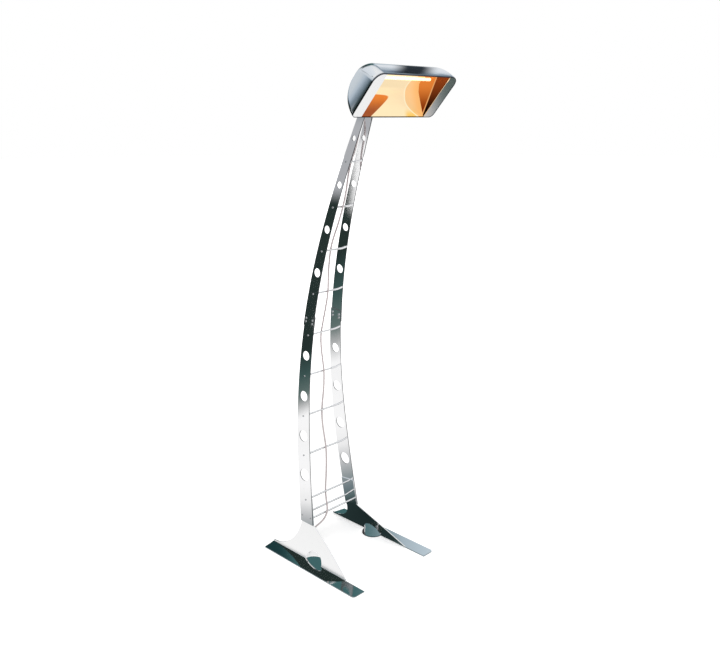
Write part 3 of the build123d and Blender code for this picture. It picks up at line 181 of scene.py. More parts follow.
class Finish(Nodes):
    """A material with one Principled shader. Constants go straight onto its sockets."""

    def __init__(self, name, **constants):
        self.material = bpy.data.materials.new(name)
        self.material.use_nodes = True
        super().__init__(self.material.node_tree)
        self.shader = self.tree.nodes.new("ShaderNodeBsdfPrincipled")
        self.out = self.tree.nodes.new("ShaderNodeOutputMaterial")
        self.tree.links.new(self.shader.outputs[0], self.out.inputs[0])
        for key, value in constants.items():
            self.set(key.replace("_", " ").title().replace("Ior", "IOR"), value)
        self.at = self.node("TexCoord", output="Object")

    def set(self, name, value):
        socket = self.shader.inputs[name]
        if isinstance(value, Signal):
            self.tree.links.new(value.socket, socket)
        else:
            socket.default_value = (*value, 1) if socket.type == "RGBA" else value

    def stretched(self, scale):
        """Object coordinates, scaled along each axis."""
        return self.node("Mapping", {"vector_type": "TEXTURE"},
                         {"Vector": self.at, "Scale": tuple(1 / s for s in scale)})

    def noise(self, scale, detail=3.0, rough=0.5, where=None):
        return self.node("TexNoise", {}, {"Vector": where or self.at, "Scale": scale,
                                          "Detail": detail, "Roughness": rough})

    def bump(self, height, strength, distance=0.001, normal=None):
        inputs = {"Height": height, "Strength": strength, "Distance": distance}
        if normal:
            inputs["Normal"] = normal
        return self.node("Bump", {}, inputs)


print("shader helpers ready")

# %% [markdown]
# ## Which body each piece rides on
# The record says which CAD node belongs to the tower, the head or the rocker. A new piece that
# stands for a CAD node hides it and takes over its body and its material slot.

# %% Bodies, slots and dressing
body_of_node = {node: body for body, nodes in frame["record"]["behaviour"]["bodies"].items()
                for node in nodes}


def dress(finish, *names):
    """Gives CAD nodes a finish by their material slots."""
    for name in names:
        node = frame["nodes"][name]
        if not node.material_slots:
            node.data.materials.append(finish.material)
        for place in node.material_slots:
            place.material = finish.material


def stand_for(piece, finish, *names):
    """A modelled piece takes the place, body and slot of CAD nodes."""
    piece.data.materials.clear()
    piece.data.materials.append(finish.material)
    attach(piece, body_of_node[names[0]])
    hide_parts(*names)


print(len(body_of_node), "nodes on", sorted(set(body_of_node.values())))

# %% [markdown]
# ## The cord
# A grey rubber mains cord leaves the gland at the back of the head, hangs down between the straps,
# weaves past the rungs, goes under the clip on the left foot and ends in a coil, put away behind
# that foot. A row of joined tubes would kink at each joint. The real cord is one length, so it is
# one smooth spline with the route's points as its control points, and the coil's turns are more
# points of the same spline.

# %% The route from the gland to the coil, in metres
GLAND_END = Vector((0.060, -0.15278, 1.96855))
GLAND_WAY = Vector((0.0, 0.9339, -0.3576))
GLAND_RUN = 0.034                # the cord goes straight out of the gland for this far
CORD = 0.0075                    # its thickness
ROUTE = (
    (0.048, -0.082, 1.944), (0.026, -0.050, 1.924), (0.009, -0.042, 1.898), (0.0052, -0.037, 1.853),
    (0.0082, -0.014, 1.795), (0.0036, 0.0046, 1.750), (-0.002, 0.0165, 1.695),
    (0.0016, 0.0295, 1.640), (0.0008, 0.0485, 1.576), (0.0026, 0.080, 1.505), (0.002, 0.105, 1.455),
    (-0.0012, 0.1236, 1.402), (-0.0016, 0.135, 1.325), (0.0022, 0.1435, 1.268),
    (0.004, 0.1475, 1.218), (0.0084, 0.165, 1.160), (0.0078, 0.1825, 1.098),
    (0.0076, 0.1945, 1.051), (0.0018, 0.1965, 1.022), (0.0026, 0.198, 0.967),
    (0.0068, 0.1935, 0.903), (0.0116, 0.1905, 0.853), (0.0159, 0.199, 0.768),
    (0.0124, 0.212, 0.6735), (0.0054, 0.204, 0.604), (0.0042, 0.189, 0.532),
    (0.0056, 0.1795, 0.475), (0.0024, 0.1775, 0.372), (-0.0044, 0.1818, 0.265),
    (-0.027, 0.151, 0.228), (-0.048, 0.1205, 0.201), (-0.061, 0.119, 0.170),
    (-0.087, 0.1195, 0.151), (-0.119, 0.122, 0.140), (-0.139, 0.1305, 0.1205),
    (-0.150, 0.1344, 0.0975), (-0.1582, 0.1356, 0.0745), (-0.1654, 0.1374, 0.0525),
    (-0.171, 0.142, 0.0334), (-0.174, 0.1514, 0.0184), (-0.1754, 0.1652, 0.0087))
COIL_MIDDLE = Vector((-0.132, 0.211, 0.00375))
COIL_START = radians(190.0)
COIL_PITCH = 0.0081              # from the lower turns to the upper ones
COIL_REACH = (0.0495, 0.0495, 0.0414, 0.0414, 0.0333, 0.0333, 0.0252,      # lower turns, inwards
              0.0252, 0.0333, 0.0333, 0.0414, 0.0414, 0.0495)              # upper turns, outwards
CLIMBING_HALF = 6                # the half turn that climbs from the lower layer to the upper
PER_HALF = 6                     # control points in each half turn
COIL_RUN = 0.015                 # straight before the coil and after it
TAIL = ((-0.1036, 0.2669, 0.0146), (-0.0892, 0.2689, 0.0185))
TAIL_RUN = 0.014                 # straight into the plug
PLUG_HEADING = radians(10)


def towards(angle):
    """The level direction at this heading."""
    return Vector((cos(angle), sin(angle), 0))


def right_of(way):
    """The level direction to the right of another one."""
    return Vector((way.y, -way.x, 0))


def raised(height):
    return Vector((0, 0, height))


def coil_points():
    """Control points just outside each half turn, because the spline cuts corners."""
    points = []
    outside = 1 / cos(pi / PER_HALF / 2)
    shares = [(step + 0.5) / PER_HALF for step in range(PER_HALF)]
    for half, (near, far) in enumerate(zip(COIL_REACH, COIL_REACH[1:])):
        spoke = COIL_START - pi * half
        middle = COIL_MIDDLE + towards(spoke) * (near - far) / 2
        for share in shares:
            climb = min(max(half - CLIMBING_HALF + share, 0), 1)
            points.append(middle + towards(spoke - pi * share) * (near + far) / 2 * outside
                          + raised(COIL_PITCH * climb * climb * (3 - 2 * climb)))
    for share in shares[:PER_HALF // 2]:
        points.append(COIL_MIDDLE + towards(COIL_START - pi * share) * COIL_REACH[0] * outside
                      + raised(COIL_PITCH))
    return points


PLUG_WAY = towards(PLUG_HEADING)
PLUG_START = Vector(TAIL[-1]) + PLUG_WAY * TAIL_RUN
coil_spoke = towards(COIL_START)
coil_way = right_of(coil_spoke)
coil_in = COIL_MIDDLE + coil_spoke * COIL_REACH[0] - coil_way * CORD
coil_out = COIL_MIDDLE + coil_way * COIL_REACH[0] + raised(COIL_PITCH) - coil_spoke * CORD
cord_points = [GLAND_END, GLAND_END + GLAND_WAY * GLAND_RUN, *map(Vector, ROUTE),
               coil_in - coil_way * COIL_RUN, coil_in, *coil_points(),
               coil_out, coil_out - coil_spoke * COIL_RUN, *map(Vector, TAIL), PLUG_START]
print("cord control points", len(cord_points))

# %% The cord's tube
def spline_object(name, points, radius=0.0):
    """A smooth open spline with these control points, with a round section if it has a radius."""
    curve = bpy.data.curves.new(name, "CURVE")
    curve.dimensions = "3D"
    curve.resolution_u = 6
    spline = curve.splines.new("NURBS")
    spline.points.add(len(points) - 1)
    for point, place in zip(spline.points, points):
        point.co = (*place, 1)
    spline.order_u = 3
    spline.use_endpoint_u = True
    curve.bevel_depth = radius
    curve.bevel_resolution = 5
    curve.use_fill_caps = radius > 0
    made = bpy.data.objects.new(name, curve)
    bpy.context.scene.collection.objects.link(made)
    return made


def as_mesh(curve_object, name):
    """The curve as a mesh piece at the origin; the curve itself is removed."""
    bpy.context.view_layer.update()
    seen = curve_object.evaluated_get(bpy.context.evaluated_depsgraph_get())
    mesh = bpy.data.meshes.new_from_object(seen)
    bpy.data.objects.remove(curve_object)
    mesh.name = name
    piece = bpy.data.objects.new(name, mesh)
    bpy.context.scene.collection.objects.link(piece)
    return piece


line = as_mesh(spline_object("cord_line", cord_points), "cord_line")
cord_path = [tuple(v.co) for v in line.data.vertices]
bpy.data.objects.remove(line)
cord_length = sum((Vector(b) - Vector(a)).length for a, b in zip(cord_path, cord_path[1:]))
cord = as_mesh(spline_object("mains_cord", cord_points, CORD / 2), "mains_cord")
for face in cord.data.polygons:
    face.use_smooth = True
print("cord", round(cord_length, 3), "m,", len(cord.data.polygons), "faces")

# %% Cord rubber
rubber = Finish("cord_rubber", roughness=0.5)
mottle = rubber.noise(220.0, 4.0)
long_wear = rubber.noise(9.0, 2.0)
rubber.set("Base Color", rubber.mixed(mottle * 0.5 + long_wear * 0.5, (0.36, 0.31, 0.31),
                                      (0.52, 0.46, 0.46)))
rubber.set("Roughness", mottle * 0.25 + 0.38)
rubber.set("Normal", rubber.bump(rubber.noise(1400.0, 2.0), 0.25, 0.0004))
print("cord rubber mixed from", len(rubber.tree.nodes), "nodes")

# %% [markdown]
# ## Studio
# Polished steel has no colour of its own: it shows the room. The photographed one shows a white
# floor that runs out a few metres away, a dark teal end of the room behind it, and pale light from
# above. The camera and the soft light see plain white instead. A room of real walls would stand in
# the way of the light and of other views. So the world asks each ray what it is: reflections get
# the room by their direction, and all other rays get white.

# %% The room that the steel shows
world = bpy.data.worlds.new("studio")
bpy.context.scene.world = world
world.use_nodes = True
room = Nodes(world.node_tree)
east, north, rise = room.axes(room.node("TexCoord", output="Generated"))
heading = room.node("Math", {"operation": "ARCTAN2"}, {0: north, 1: east}) * (180 / pi)
NIGHT = (0.020, 0.033, 0.030)


def rise_of(angle):
    """The rise of a direction that is so many degrees above the horizon."""
    return sin(radians(angle))


def by_rise(*stops):
    """Colours at heights in degrees above the horizon."""
    return room.node("ValToRGB", {"stops": [((rise_of(angle) + 1) / 2, colour)
                                            for angle, colour in stops]}, {0: rise * 0.5 + 0.5})


def by_heading(*stops):
    """Colours at headings in degrees, anticlockwise from the object's right."""
    return room.node("ValToRGB", {"stops": [((angle + 180) / 360, colour)
                                            for angle, colour in stops]},
                     {0: heading * (1 / 360) + 0.5})


behind_left = by_rise((-90, NIGHT), (1.5, NIGHT), (3.5, (0.035, 0.055, 0.060)),
                      (7, (0.20, 0.26, 0.31)), (10.5, (0.52, 0.60, 0.68)),
                      (15, (0.68, 0.73, 0.77)), (28, (0.76, 0.81, 0.86)), (40, (1, 1, 1)),
                      (90, (1, 1, 1)))
right_side = by_rise((-90, NIGHT), (2, (0.30, 0.33, 0.36)), (20, (0.85, 0.87, 0.90)),
                     (31, (0.88, 0.91, 0.95)), (33.5, (0.62, 0.68, 0.74)),
                     (37, (0.22, 0.29, 0.36)), (43, (0.34, 0.40, 0.46)), (58, (0.92, 0.93, 0.95)),
                     (90, (1, 1, 1)))
behind_right = by_heading((-180, (0.5, 0.5, 0.5)), (34, (0.75, 0.82, 0.88)),
                          (39, (0.50, 0.60, 0.67)), (41, (0.40, 0.49, 0.55)),
                          (43, (0.14, 0.23, 0.25)), (44.5, (0.055, 0.140, 0.145)),
                          (180, (0.050, 0.130, 0.130)))


def between(signal, low, high, edge):
    """1 for a signal between low and high, with soft edges inside them."""
    return signal.step(low, low + edge) * (1 - signal.step(high - edge, high))


# The dark end of the room, with its deepest part low at the left.
in_band = between(rise, rise_of(12), rise_of(50), 0.14)
in_sector = between(heading, 34, 66, 5)
deepest = heading.step(49.5, 51.5) * (1 - rise.step(rise_of(33), rise_of(34.5)))
behind_right = room.mixed(deepest, behind_right, (0.012, 0.043, 0.047))
by_side = room.mixed(heading.step(40, 66), right_side, behind_left)
by_side = room.mixed((0 - north).step(-0.15, 0.15), by_side, (0.93, 0.94, 0.95))
reflected = room.mixed(in_band * in_sector, by_side, behind_right)

# The feet's flanges lie flat and mirror what is high behind them, which is dark as well.
over_feet = between(rise, rise_of(25), rise_of(57), 0.04) * between(heading, 62, 141, 4)
beside_feet = between(rise, rise_of(30), rise_of(37), 0.03) * between(heading, 62, 150, 4)
reflected = room.mixed(over_feet.most(beside_feet), reflected, NIGHT)
print("room drawn for reflections")

# %% What the other rays see
SOFT_LIGHT = 0.8                 # strength of the light that comes from all round

seen = room.node("Background", {}, {"Color": (1, 1, 1), "Strength": 1.0})
mirrored = room.node("Background", {}, {"Color": reflected, "Strength": 1.0})
soft = room.node("Background", {}, {"Color": (1, 1, 1), "Strength": SOFT_LIGHT})
lit = room.node("MixShader", {}, {0: room.light_path("Is Glossy Ray"), 1: soft, 2: mirrored})
shown = room.light_path("Is Camera Ray").most(room.light_path("Is Transmission Ray"))
room.tree.links.new(room.node("MixShader", {}, {0: shown, 1: lit, 2: seen}).socket,
                    room.tree.nodes.new("ShaderNodeOutputWorld").inputs[0])
print("world of", len(room.tree.nodes), "nodes")

# %% [markdown]
# ## Floor
# One large disc. To the camera it is white and keeps the soft shadow under the feet; its paint
# glows a little more with distance, so it has no edge against the white behind it. In the steel it
# is white from one to two metres away. It darkens beyond, and close to the feet it carries a
# painted shadow of the object, which only reflections see. Far behind the object at the left it is
# white again, in a lane that only the top of the right strap mirrors. One sheet of paint with rings
# and sides by distance does all of this; separate sheets would show their edges in the steel.

# %% Floor
FLOOR_RADIUS = 40.0
FLOOR_GAP = 0.0005               # below the feet, so that the faces don't fight
FLOOR_MIDDLE = (0.10, 0.13)      # the darkening near the feet is centred here
FLOOR_REACH = 5.0                # metres over which its rings are drawn
SLANT_WAY = (0.719, 0.695)       # the level way across what the straps mirror, to their right
WHITE_LONGER = (0.12, 0.35, 2.5)    # left of this slant, and over this width, by this slope
LANE_EDGE = (0.033, 0.15)        # the lane's right edge: its slope and where it starts

bpy.ops.object.select_all(action="DESELECT")
bpy.ops.mesh.primitive_circle_add(vertices=96, radius=FLOOR_RADIUS, fill_type="NGON",
                                  location=(0, 0, -FLOOR_GAP))
floor = bpy.context.object
floor.name = "studio_floor"
paint = Finish("floor_paint", roughness=0.9, specular_ior_level=0.0)
paint.set("Base Color", paint.mixed(paint.noise(3.0), (0.88, 0.88, 0.88), (0.92, 0.92, 0.92)))
aside, away, _ = paint.axes(paint.at)
aside, away = aside - FLOOR_MIDDLE[0], away - FLOOR_MIDDLE[1]
distance = (aside * aside + away * away).power(0.5)
paint.set("Emission Color", paint.mixed(distance.step(1.0, 4.0), (0.28, 0.28, 0.28), (1, 1, 1)))
paint.set("Emission Strength", 1.0)


def rings(*stops, reach=distance):
    """Colours of the floor at distances from its middle."""
    return paint.node("ValToRGB", {"stops": [(radius / FLOOR_REACH, colour)
                                             for radius, colour in stops]},
                      {0: reach * (1 / FLOOR_REACH)})


# Painted shadow: as the steel sees it, the floor is dark close to the feet.
near = rings((0.0, (0.012, 0.022, 0.022)), (0.22, (0.020, 0.036, 0.036)),
             (0.30, (0.11, 0.16, 0.165)), (0.38, (0.17, 0.22, 0.24)),
             (0.50, (0.30, 0.34, 0.35)), (0.66, (0.55, 0.56, 0.57)), (0.85, (0.90, 0.90, 0.90)),
             (1.1, (1, 1, 1)), (5.0, (1, 1, 1)))
slant = aside * SLANT_WAY[0] + away * SLANT_WAY[1]
turn, width, slope = WHITE_LONGER
far = rings((0.0, (1, 1, 1)), (2.1, (1, 1, 1)), (2.50, (0.46, 0.47, 0.47)),
            (2.85, (0.12, 0.17, 0.16)), (3.7, (0.045, 0.09, 0.085)), (5.0, NIGHT),
            reach=distance - (turn - slant).most(0.0).least(width) * slope)
right = rings((0.0, (1, 1, 1)), (2.25, (1, 1, 1)), (2.40, (0.75, 0.66, 0.60)),
              (2.50, (0.44, 0.46, 0.48)), (2.66, (0.10, 0.13, 0.12)), (5.0, NIGHT))
far = paint.mixed(away.step(-0.5, 0.5), right, far)
inside = (1 - distance.step(1.1, 2.0)).most(1 - aside.step(0.5, 1.5).most(away.step(-0.5, 0.5)))
mirrored_floor = paint.mixed(inside, far, near)
lane = 1 - (slant + distance * LANE_EDGE[0] - LANE_EDGE[1]).step(-0.02, 0.02)
lane = lane * distance.step(6.7, 7.5) * (1 - aside.step(-2.0, -1.0)) * away.step(1.0, 2.0)
mirrored_floor = paint.mixed(lane, mirrored_floor, (1, 1, 1))
glow = paint.node("Emission", {}, {"Color": mirrored_floor, "Strength": 1.0})
mixed = paint.node("MixShader", {}, {0: paint.light_path("Is Glossy Ray"),
                                     1: Signal(paint, paint.shader.outputs[0]), 2: glow})
paint.tree.links.new(mixed.socket, paint.out.inputs[0])
floor.data.materials.append(paint.material)
print("floor", round(floor.dimensions.x, 1), "m wide")

# %% [markdown]
# ## Lights and reflection cards
# Two soft boxes model the shapes. The cards are what a photographer hangs round a metal object to
# draw it, and only reflections see them. A grey one hangs well behind the tower and greys the top
# of the left strap, a low pale one stands where a studio's floor curves up, and a pale one and a
# dark flag hang over the head's two halves. They could be painted into the world as well, but each
# part of the object sees a near card in another direction, and that is what gives it an edge.

# %% Soft boxes
def soft_box(name, place, target, size, power):
    light = bpy.data.lights.new(name, "AREA")
    light.shape, light.size, light.size_y = "RECTANGLE", *size
    light.energy = power
    made = bpy.data.objects.new(name, light)
    bpy.context.scene.collection.objects.link(made)
    made.location = place
    made.rotation_euler = (Vector(target) - Vector(place)).to_track_quat("-Z", "Y").to_euler()
    made.visible_glossy = False


soft_box("key", (-2.6, -1.2, 3.6), (0, -0.1, 1.4), (1.6, 1.6), 60)
soft_box("fill", (2.8, -2.0, 2.6), (0, 0, 1.0), (2.0, 2.0), 30)
print("soft boxes", len(bpy.data.lights))


# %% Reflection cards
def card(name, corners, colour, cover):
    """A flat card with a glow; cover tells how solid it is. Both are functions of its U and V."""
    bpy.ops.object.select_all(action="DESELECT")
    bpy.ops.mesh.primitive_plane_add(size=1.0, calc_uvs=True)
    made = bpy.context.object
    made.name = name
    for vertex, corner in zip(made.data.vertices, corners):
        vertex.co = corner
    sheet = Finish(name)
    across, up, _ = sheet.axes(sheet.node("TexCoord", output="UV"))
    glow = sheet.node("Emission", {}, {"Color": colour(sheet, across, up), "Strength": 1.0})
    clear = sheet.node("BsdfTransparent")
    faded = sheet.node("MixShader", {}, {0: cover(across, up), 1: clear, 2: glow})
    sheet.tree.links.new(faded.socket, sheet.out.inputs[0])
    made.data.materials.append(sheet.material)
    for sense in ("camera", "diffuse", "transmission", "volume_scatter", "shadow"):
        setattr(made, "visible_" + sense, False)


STRAP_VIEW = towards(radians(133))    # where the straps' faces look into the room
BEHIND = STRAP_VIEW * 1.4
ACROSS = right_of(STRAP_VIEW)
card("strap_card", [BEHIND + ACROSS * across + raised(height)
                    for height in (1.56, 2.22) for across in (-0.20, 0.05)],
     lambda sheet, across, up: sheet.mixed(up, (0.42, 0.43, 0.45), (0.46, 0.47, 0.49)),
     lambda across, up: up.step(0.04, 0.20) * (1 - up.step(0.68, 0.88)))
card("cove_card", [(-1.9, 0.35, 0), (-0.35, 1.75, 0), (-1.9, 0.35, 0.24), (-0.35, 1.75, 0.24)],
     lambda sheet, across, up: sheet.mixed(up, (1, 1, 1), (0.96, 0.96, 0.96)),
     lambda across, up: (1 - up.step(0.75, 1.0)) * between(across, 0.0, 1.0, 0.1))
card("head_card", [(-0.50, -0.10, 2.16), (-0.10, 0.05, 2.16),
                   (-0.44, -0.28, 2.44), (-0.04, -0.13, 2.44)],
     lambda sheet, across, up: sheet.mixed(up, (0.78, 0.83, 0.88), (0.95, 0.97, 1.0)),
     lambda across, up: between(across, 0.0, 1.0, 0.15) * between(up, 0.0, 1.0, 0.15))

FLAG_MIDDLE = Vector((0.285, -0.184, 2.279))
FLAG_ALONG = Vector((0.49, 0.84, -0.26)).normalized()
FLAG_ACROSS = FLAG_ALONG.cross(Vector((0.76, 0.33, 0.55)).normalized()).normalized()
card("head_flag", [FLAG_MIDDLE + FLAG_ACROSS * across + FLAG_ALONG * along
                   for along in (-0.12, 0.30) for across in (-0.10, 0.10)],
     lambda sheet, across, up: sheet.mixed(up, (0.022, 0.026, 0.032), (0.035, 0.050, 0.065)),
     lambda across, up: between(across, 0.0, 1.0, 0.38) * between(up, 0.0, 1.0, 0.1))
print("studio ready")

# %% [markdown]
# ## Polished steel
# Straps, feet, rungs and shell are mirror-polished stainless sheet. Only faint smears, fine
# scratches and a slow wave in the sheet tell it from a perfect mirror, so those vary the roughness
# and the normal by very little. The straps' cut edges are never polished: they stay darker and
# matt. A second material on those faces would do it too, but the true normal already tells a face
# from an edge, so one finish covers the whole strap.

# %% Steel finishes
DULLER = 0.965                   # share of its tone that a smear leaves


def waved(steel, wave):
    """A slow wave in the sheet, and fine scratches along the height."""
    slow = steel.bump(steel.noise(5.0, 1.0), wave, 0.002)
    scratches = steel.noise(60.0, 3.0, where=steel.stretched((30, 30, 1)))
    steel.set("Normal", steel.bump(scratches, 0.04, 0.0003, slow))


def polished(name, tone, rough, wave, dull=None):
    """Metal with faint smears and specks, which keeps its colour in .tone."""
    steel = Finish(name, metallic=1.0)
    smear = steel.noise(7.0, 5.0, 0.6)
    speck = steel.noise(160.0, 2.0)
    steel.tone = steel.mixed(smear, dull or tuple(share * DULLER for share in tone), tone)
    steel.set("Base Color", steel.tone)
    steel.set("Roughness", smear * 0.05 + speck * 0.02 + rough)
    waved(steel, wave)
    return steel


strap_steel = Finish("strap_steel", metallic=1.0)
sideways, _, _ = strap_steel.axes(strap_steel.node("NewGeometry", output="True Normal"))
cut_edge = 1 - sideways.size().step(0.55, 0.75)
grain = strap_steel.noise(90.0, 2.0)
face = strap_steel.mixed(grain, (0.91, 0.91, 0.915), (0.94, 0.94, 0.945))
strap_steel.set("Base Color", strap_steel.mixed(cut_edge, face, (0.14, 0.145, 0.15)))
strap_steel.set("Roughness", cut_edge * 0.35 + grain * 0.03 + 0.02)
waved(strap_steel, 0.03)
foot_steel = polished("foot_steel", (0.92, 0.92, 0.92), 0.01, 0.015)
rod_steel = polished("rod_steel", (0.93, 0.93, 0.94), 0.16, 0.03)
bezel_steel = polished("bezel_steel", (0.88, 0.88, 0.88), 0.08, 0.04)
fastener_steel = polished("fastener_steel", (0.50, 0.51, 0.52), 0.22, 0.02)
dress(strap_steel, *[f"{length}_strap_{side}" for length in ("upper", "lower")
                     for side in ("left", "right")])
dress(foot_steel, "foot_left", "foot_right")
dress(rod_steel, *[f"rung_{i:02d}" for i in range(1, 12)], "head_bracket")
dress(bezel_steel, "bezel_left", "bezel_right")
dress(fastener_steel, "rung_screws_left", "rung_screws_right", "splice_screws", "splice_nuts",
      "pivot_bolt", "pivot_nut", "pivot_washers", "pivot_sleeve", "bracket_screws", "bracket_nuts",
      "holder_screws")
print("steel finishes on straps, feet, rungs, bezels and fasteners")

# %% [markdown]
# ## The shell's mouth
# The steel is painted dark blue in a thin band right at the edge of the mouth. A strip of its own
# could carry it, but it has no thickness. So its distance behind the mouth's slanted plane is
# worked out in the shader, and the band follows the edge all round. The plane itself is read from
# the shell's own vertices.

# %% Dark band at the shell's mouth
MOUTH_WAY = Vector((0.0, -0.73, -0.683))     # square to the mouth, forwards and down
TINT = (0.0035, 0.0085)          # where the tint starts to fade and where it ends
mouth_reach = max(MOUTH_WAY.dot(v.co) for v in frame["nodes"]["head_shell"].data.vertices)
dark_banded_steel = polished("dark_banded_steel", (0.79, 0.81, 0.83), 0.05, 0.04, (0.765, 0.785, 0.80))
_, depth, height = dark_banded_steel.axes(dark_banded_steel.at)
behind_mouth = mouth_reach - depth * MOUTH_WAY.y - height * MOUTH_WAY.z
ragged = dark_banded_steel.noise(25.0, 2.0) * 0.002
# A thin dark blue band is painted along the mouth's edge.
dark_band = 1 - (behind_mouth + ragged).step(*TINT)
dark_banded_steel.set("Base Color", dark_banded_steel.mixed(dark_band, dark_banded_steel.tone, (0.035, 0.040, 0.055)))
dress(dark_banded_steel, "head_shell")
print("mouth plane at", round(mouth_reach, 4))

# %% [markdown]
# ## Inside the head
# A gold-anodised trough sends the heat forward. With the lamp on, the tube's coiled wire glows
# orange-white and the whole trough fills with its light, thrown back and forth: a pale arc, a
# brown wedge at the left, darker folded ends. So thin a wire would give this only as noise in a
# render, so each pattern is drawn by the height and the place along the trough, and the sheet both
# takes its colour and glows with it.

# %% The reflector's trough
ARC_MIDDLE = 1.970               # height at which the arc bulges furthest to the left
ARC_START = 0.075                # how far right of the middle that is
ARC_UNDER, ARC_OVER = 19.5, 7.0  # how fast the arc falls away below and above
SHADE_TOP, SHADE_LOW, SHADE_LEAN = 1.996, 1.967, 0.54    # edges of the brown wedge at the left
SHADE_SQUARE = 0.88              # from a height over the leaning edge to a distance from it
PATTERN, GLOW = 0.14, 0.93       # how much of the pattern the metal and the glow take
CREAM, HONEY, AMBER = (1.0, 0.80, 0.50), (0.98, 0.62, 0.29), (1.0, 0.53, 0.18)


def heated_gold(name):
    """Gold-anodised sheet with a faint stain, not lit yet."""
    gold = Finish(name, metallic=1.0)
    gold.stain = gold.noise(30.0, 4.0)
    gold.set("Roughness", gold.stain * 0.12 + 0.20)
    return gold


def light_up(gold, pattern, *names):
    """The pattern is the colour that the lit sheet shows."""
    gold.set("Base Color", gold.mixed(1 - PATTERN, pattern, (0, 0, 0)))
    gold.set("Emission Color", pattern)
    gold.set("Emission Strength", GLOW)
    dress(gold, *names)


gold = heated_gold("gold_trough")
along, _, height = gold.axes(gold.at)
under, over = (ARC_MIDDLE - height).most(0.0), (height - ARC_MIDDLE).most(0.0)
from_arc = along - (under * under * ARC_UNDER + over * over * ARC_OVER + ARC_START)
lit = gold.mixed(from_arc.step(-0.001, 0.003), CREAM, HONEY)
lit = gold.mixed(along.step(0.10, 0.155), lit, AMBER)
lit = gold.mixed(between(along, 0.055, 0.14, 0.03) * (1 - height.step(1.915, 1.945)), lit,
                 (0.97, 0.58, 0.12))
lit = gold.mixed(between(from_arc, -0.006, 0.004, 0.003), lit, (1.0, 0.90, 0.62))
from_top = (SHADE_TOP - height).most(0.0001)
from_low = (height - along * SHADE_LEAN - SHADE_LOW).most(0.0) * SHADE_SQUARE
shade = (from_top * from_low / (from_top + from_low)).step(0.0078, 0.0092)
brown = gold.mixed(height.step(1.925, 1.985), (0.32, 0.055, 0.009), (0.80, 0.20, 0.018))
lit = gold.mixed(shade, lit, brown)
light_up(gold, gold.mixed(gold.stain * 0.12, lit, (0.9, 0.6, 0.3)), "reflector")
print("trough finish of", len(gold.tree.nodes), "nodes")

# %% The reflector's folded ends
CREASE = (-0.226, 1.9388, 0.4976)    # depth and height of the crease's foot, and its lean
ends = heated_gold("gold_ends")
_, depth, height = ends.axes(ends.at)
past_crease = depth - CREASE[0] + (height - CREASE[1]) * CREASE[2]
# Painted light: the front facets are painted near black as a painted reflection of the dark room,
# and the rear ones glow orange-brown from the lamp, darker towards the bottom.
rear = ends.mixed(height.step(1.935, 2.030), (0.22, 0.030, 0.002), (0.72, 0.21, 0.035))
front = ends.mixed(height.step(1.935, 2.035), (0.008, 0.002, 0.001), (0.22, 0.042, 0.007))
folded = ends.mixed(past_crease.step(-0.002, 0.001), front, rear)
# A painted highlight runs along the crease between the facets.
folded = ends.mixed(between(past_crease, -0.0025, 0.004, 0.002), folded, (0.75, 0.36, 0.13))
light_up(ends, folded, "reflector_end_left", "reflector_end_right")
print("folded ends lit")

# %% [markdown]
# ## The lamp and what holds it
# The tube is clear quartz, warm from the light inside it, and its wire glows. Its ends sit in
# ceramic, which has a fine grain and a thin glaze. The grain could be modelled, but at a tenth of a
# millimetre it is only seen as a broken shine, so a bump does it.

# %% Inner plates, quartz, hot wire and ceramic
sheet = polished("inner_sheet", (0.60, 0.61, 0.62), 0.30, 0.02)
dress(sheet, "end_plate_left", "end_plate_right")

quartz = Finish("quartz_tube", roughness=0.03, ior=1.46, transmission_weight=0.9)
quartz.set("Base Color", quartz.mixed(quartz.noise(50.0), (1.0, 0.80, 0.55), (1.0, 0.88, 0.70)))
quartz.set("Emission Color", (1.0, 0.82, 0.55))
quartz.set("Emission Strength", 0.5)
dress(quartz, "lamp_tube")

hot_wire = Finish("hot_wire", roughness=0.5, emission_strength=3.0)
hot_wire.set("Base Color", (0.9, 0.6, 0.3))
hot_wire.set("Emission Color", hot_wire.mixed(hot_wire.noise(300.0), (1.0, 0.75, 0.45),
                                              (1.0, 0.88, 0.62)))

ceramic = Finish("ceramic", roughness=0.45, coat_weight=0.3)
grain = ceramic.noise(400.0, 3.0)
ceramic.set("Base Color", ceramic.mixed(grain, (0.82, 0.79, 0.73), (0.92, 0.90, 0.85)))
ceramic.set("Normal", ceramic.bump(grain, 0.2, 0.0004))
dress(ceramic, "lamp_caps", "lamp_holder_left", "lamp_holder_right")
print("lamp, holders and inner plates finished")

# %% [markdown]
# ## Plastics, fibre and wire
# Moulded plastic takes a fine grain from its mould and is never equally glossy all over. Rubber,
# fibre washers and the wires' sleeves differ only in tone, gloss and grain, so instead of a finish
# written out for each, one function makes them all.

# %% Moulded finishes
def moulded(name, dark, pale, rough, size=900.0):
    plastic = Finish(name)
    grain = plastic.noise(size, 3.0)
    plastic.set("Base Color", plastic.mixed(grain, dark, pale))
    plastic.set("Roughness", plastic.noise(40.0, 2.0) * 0.15 + rough)
    plastic.set("Normal", plastic.bump(grain, 0.3, 0.0003))
    return plastic


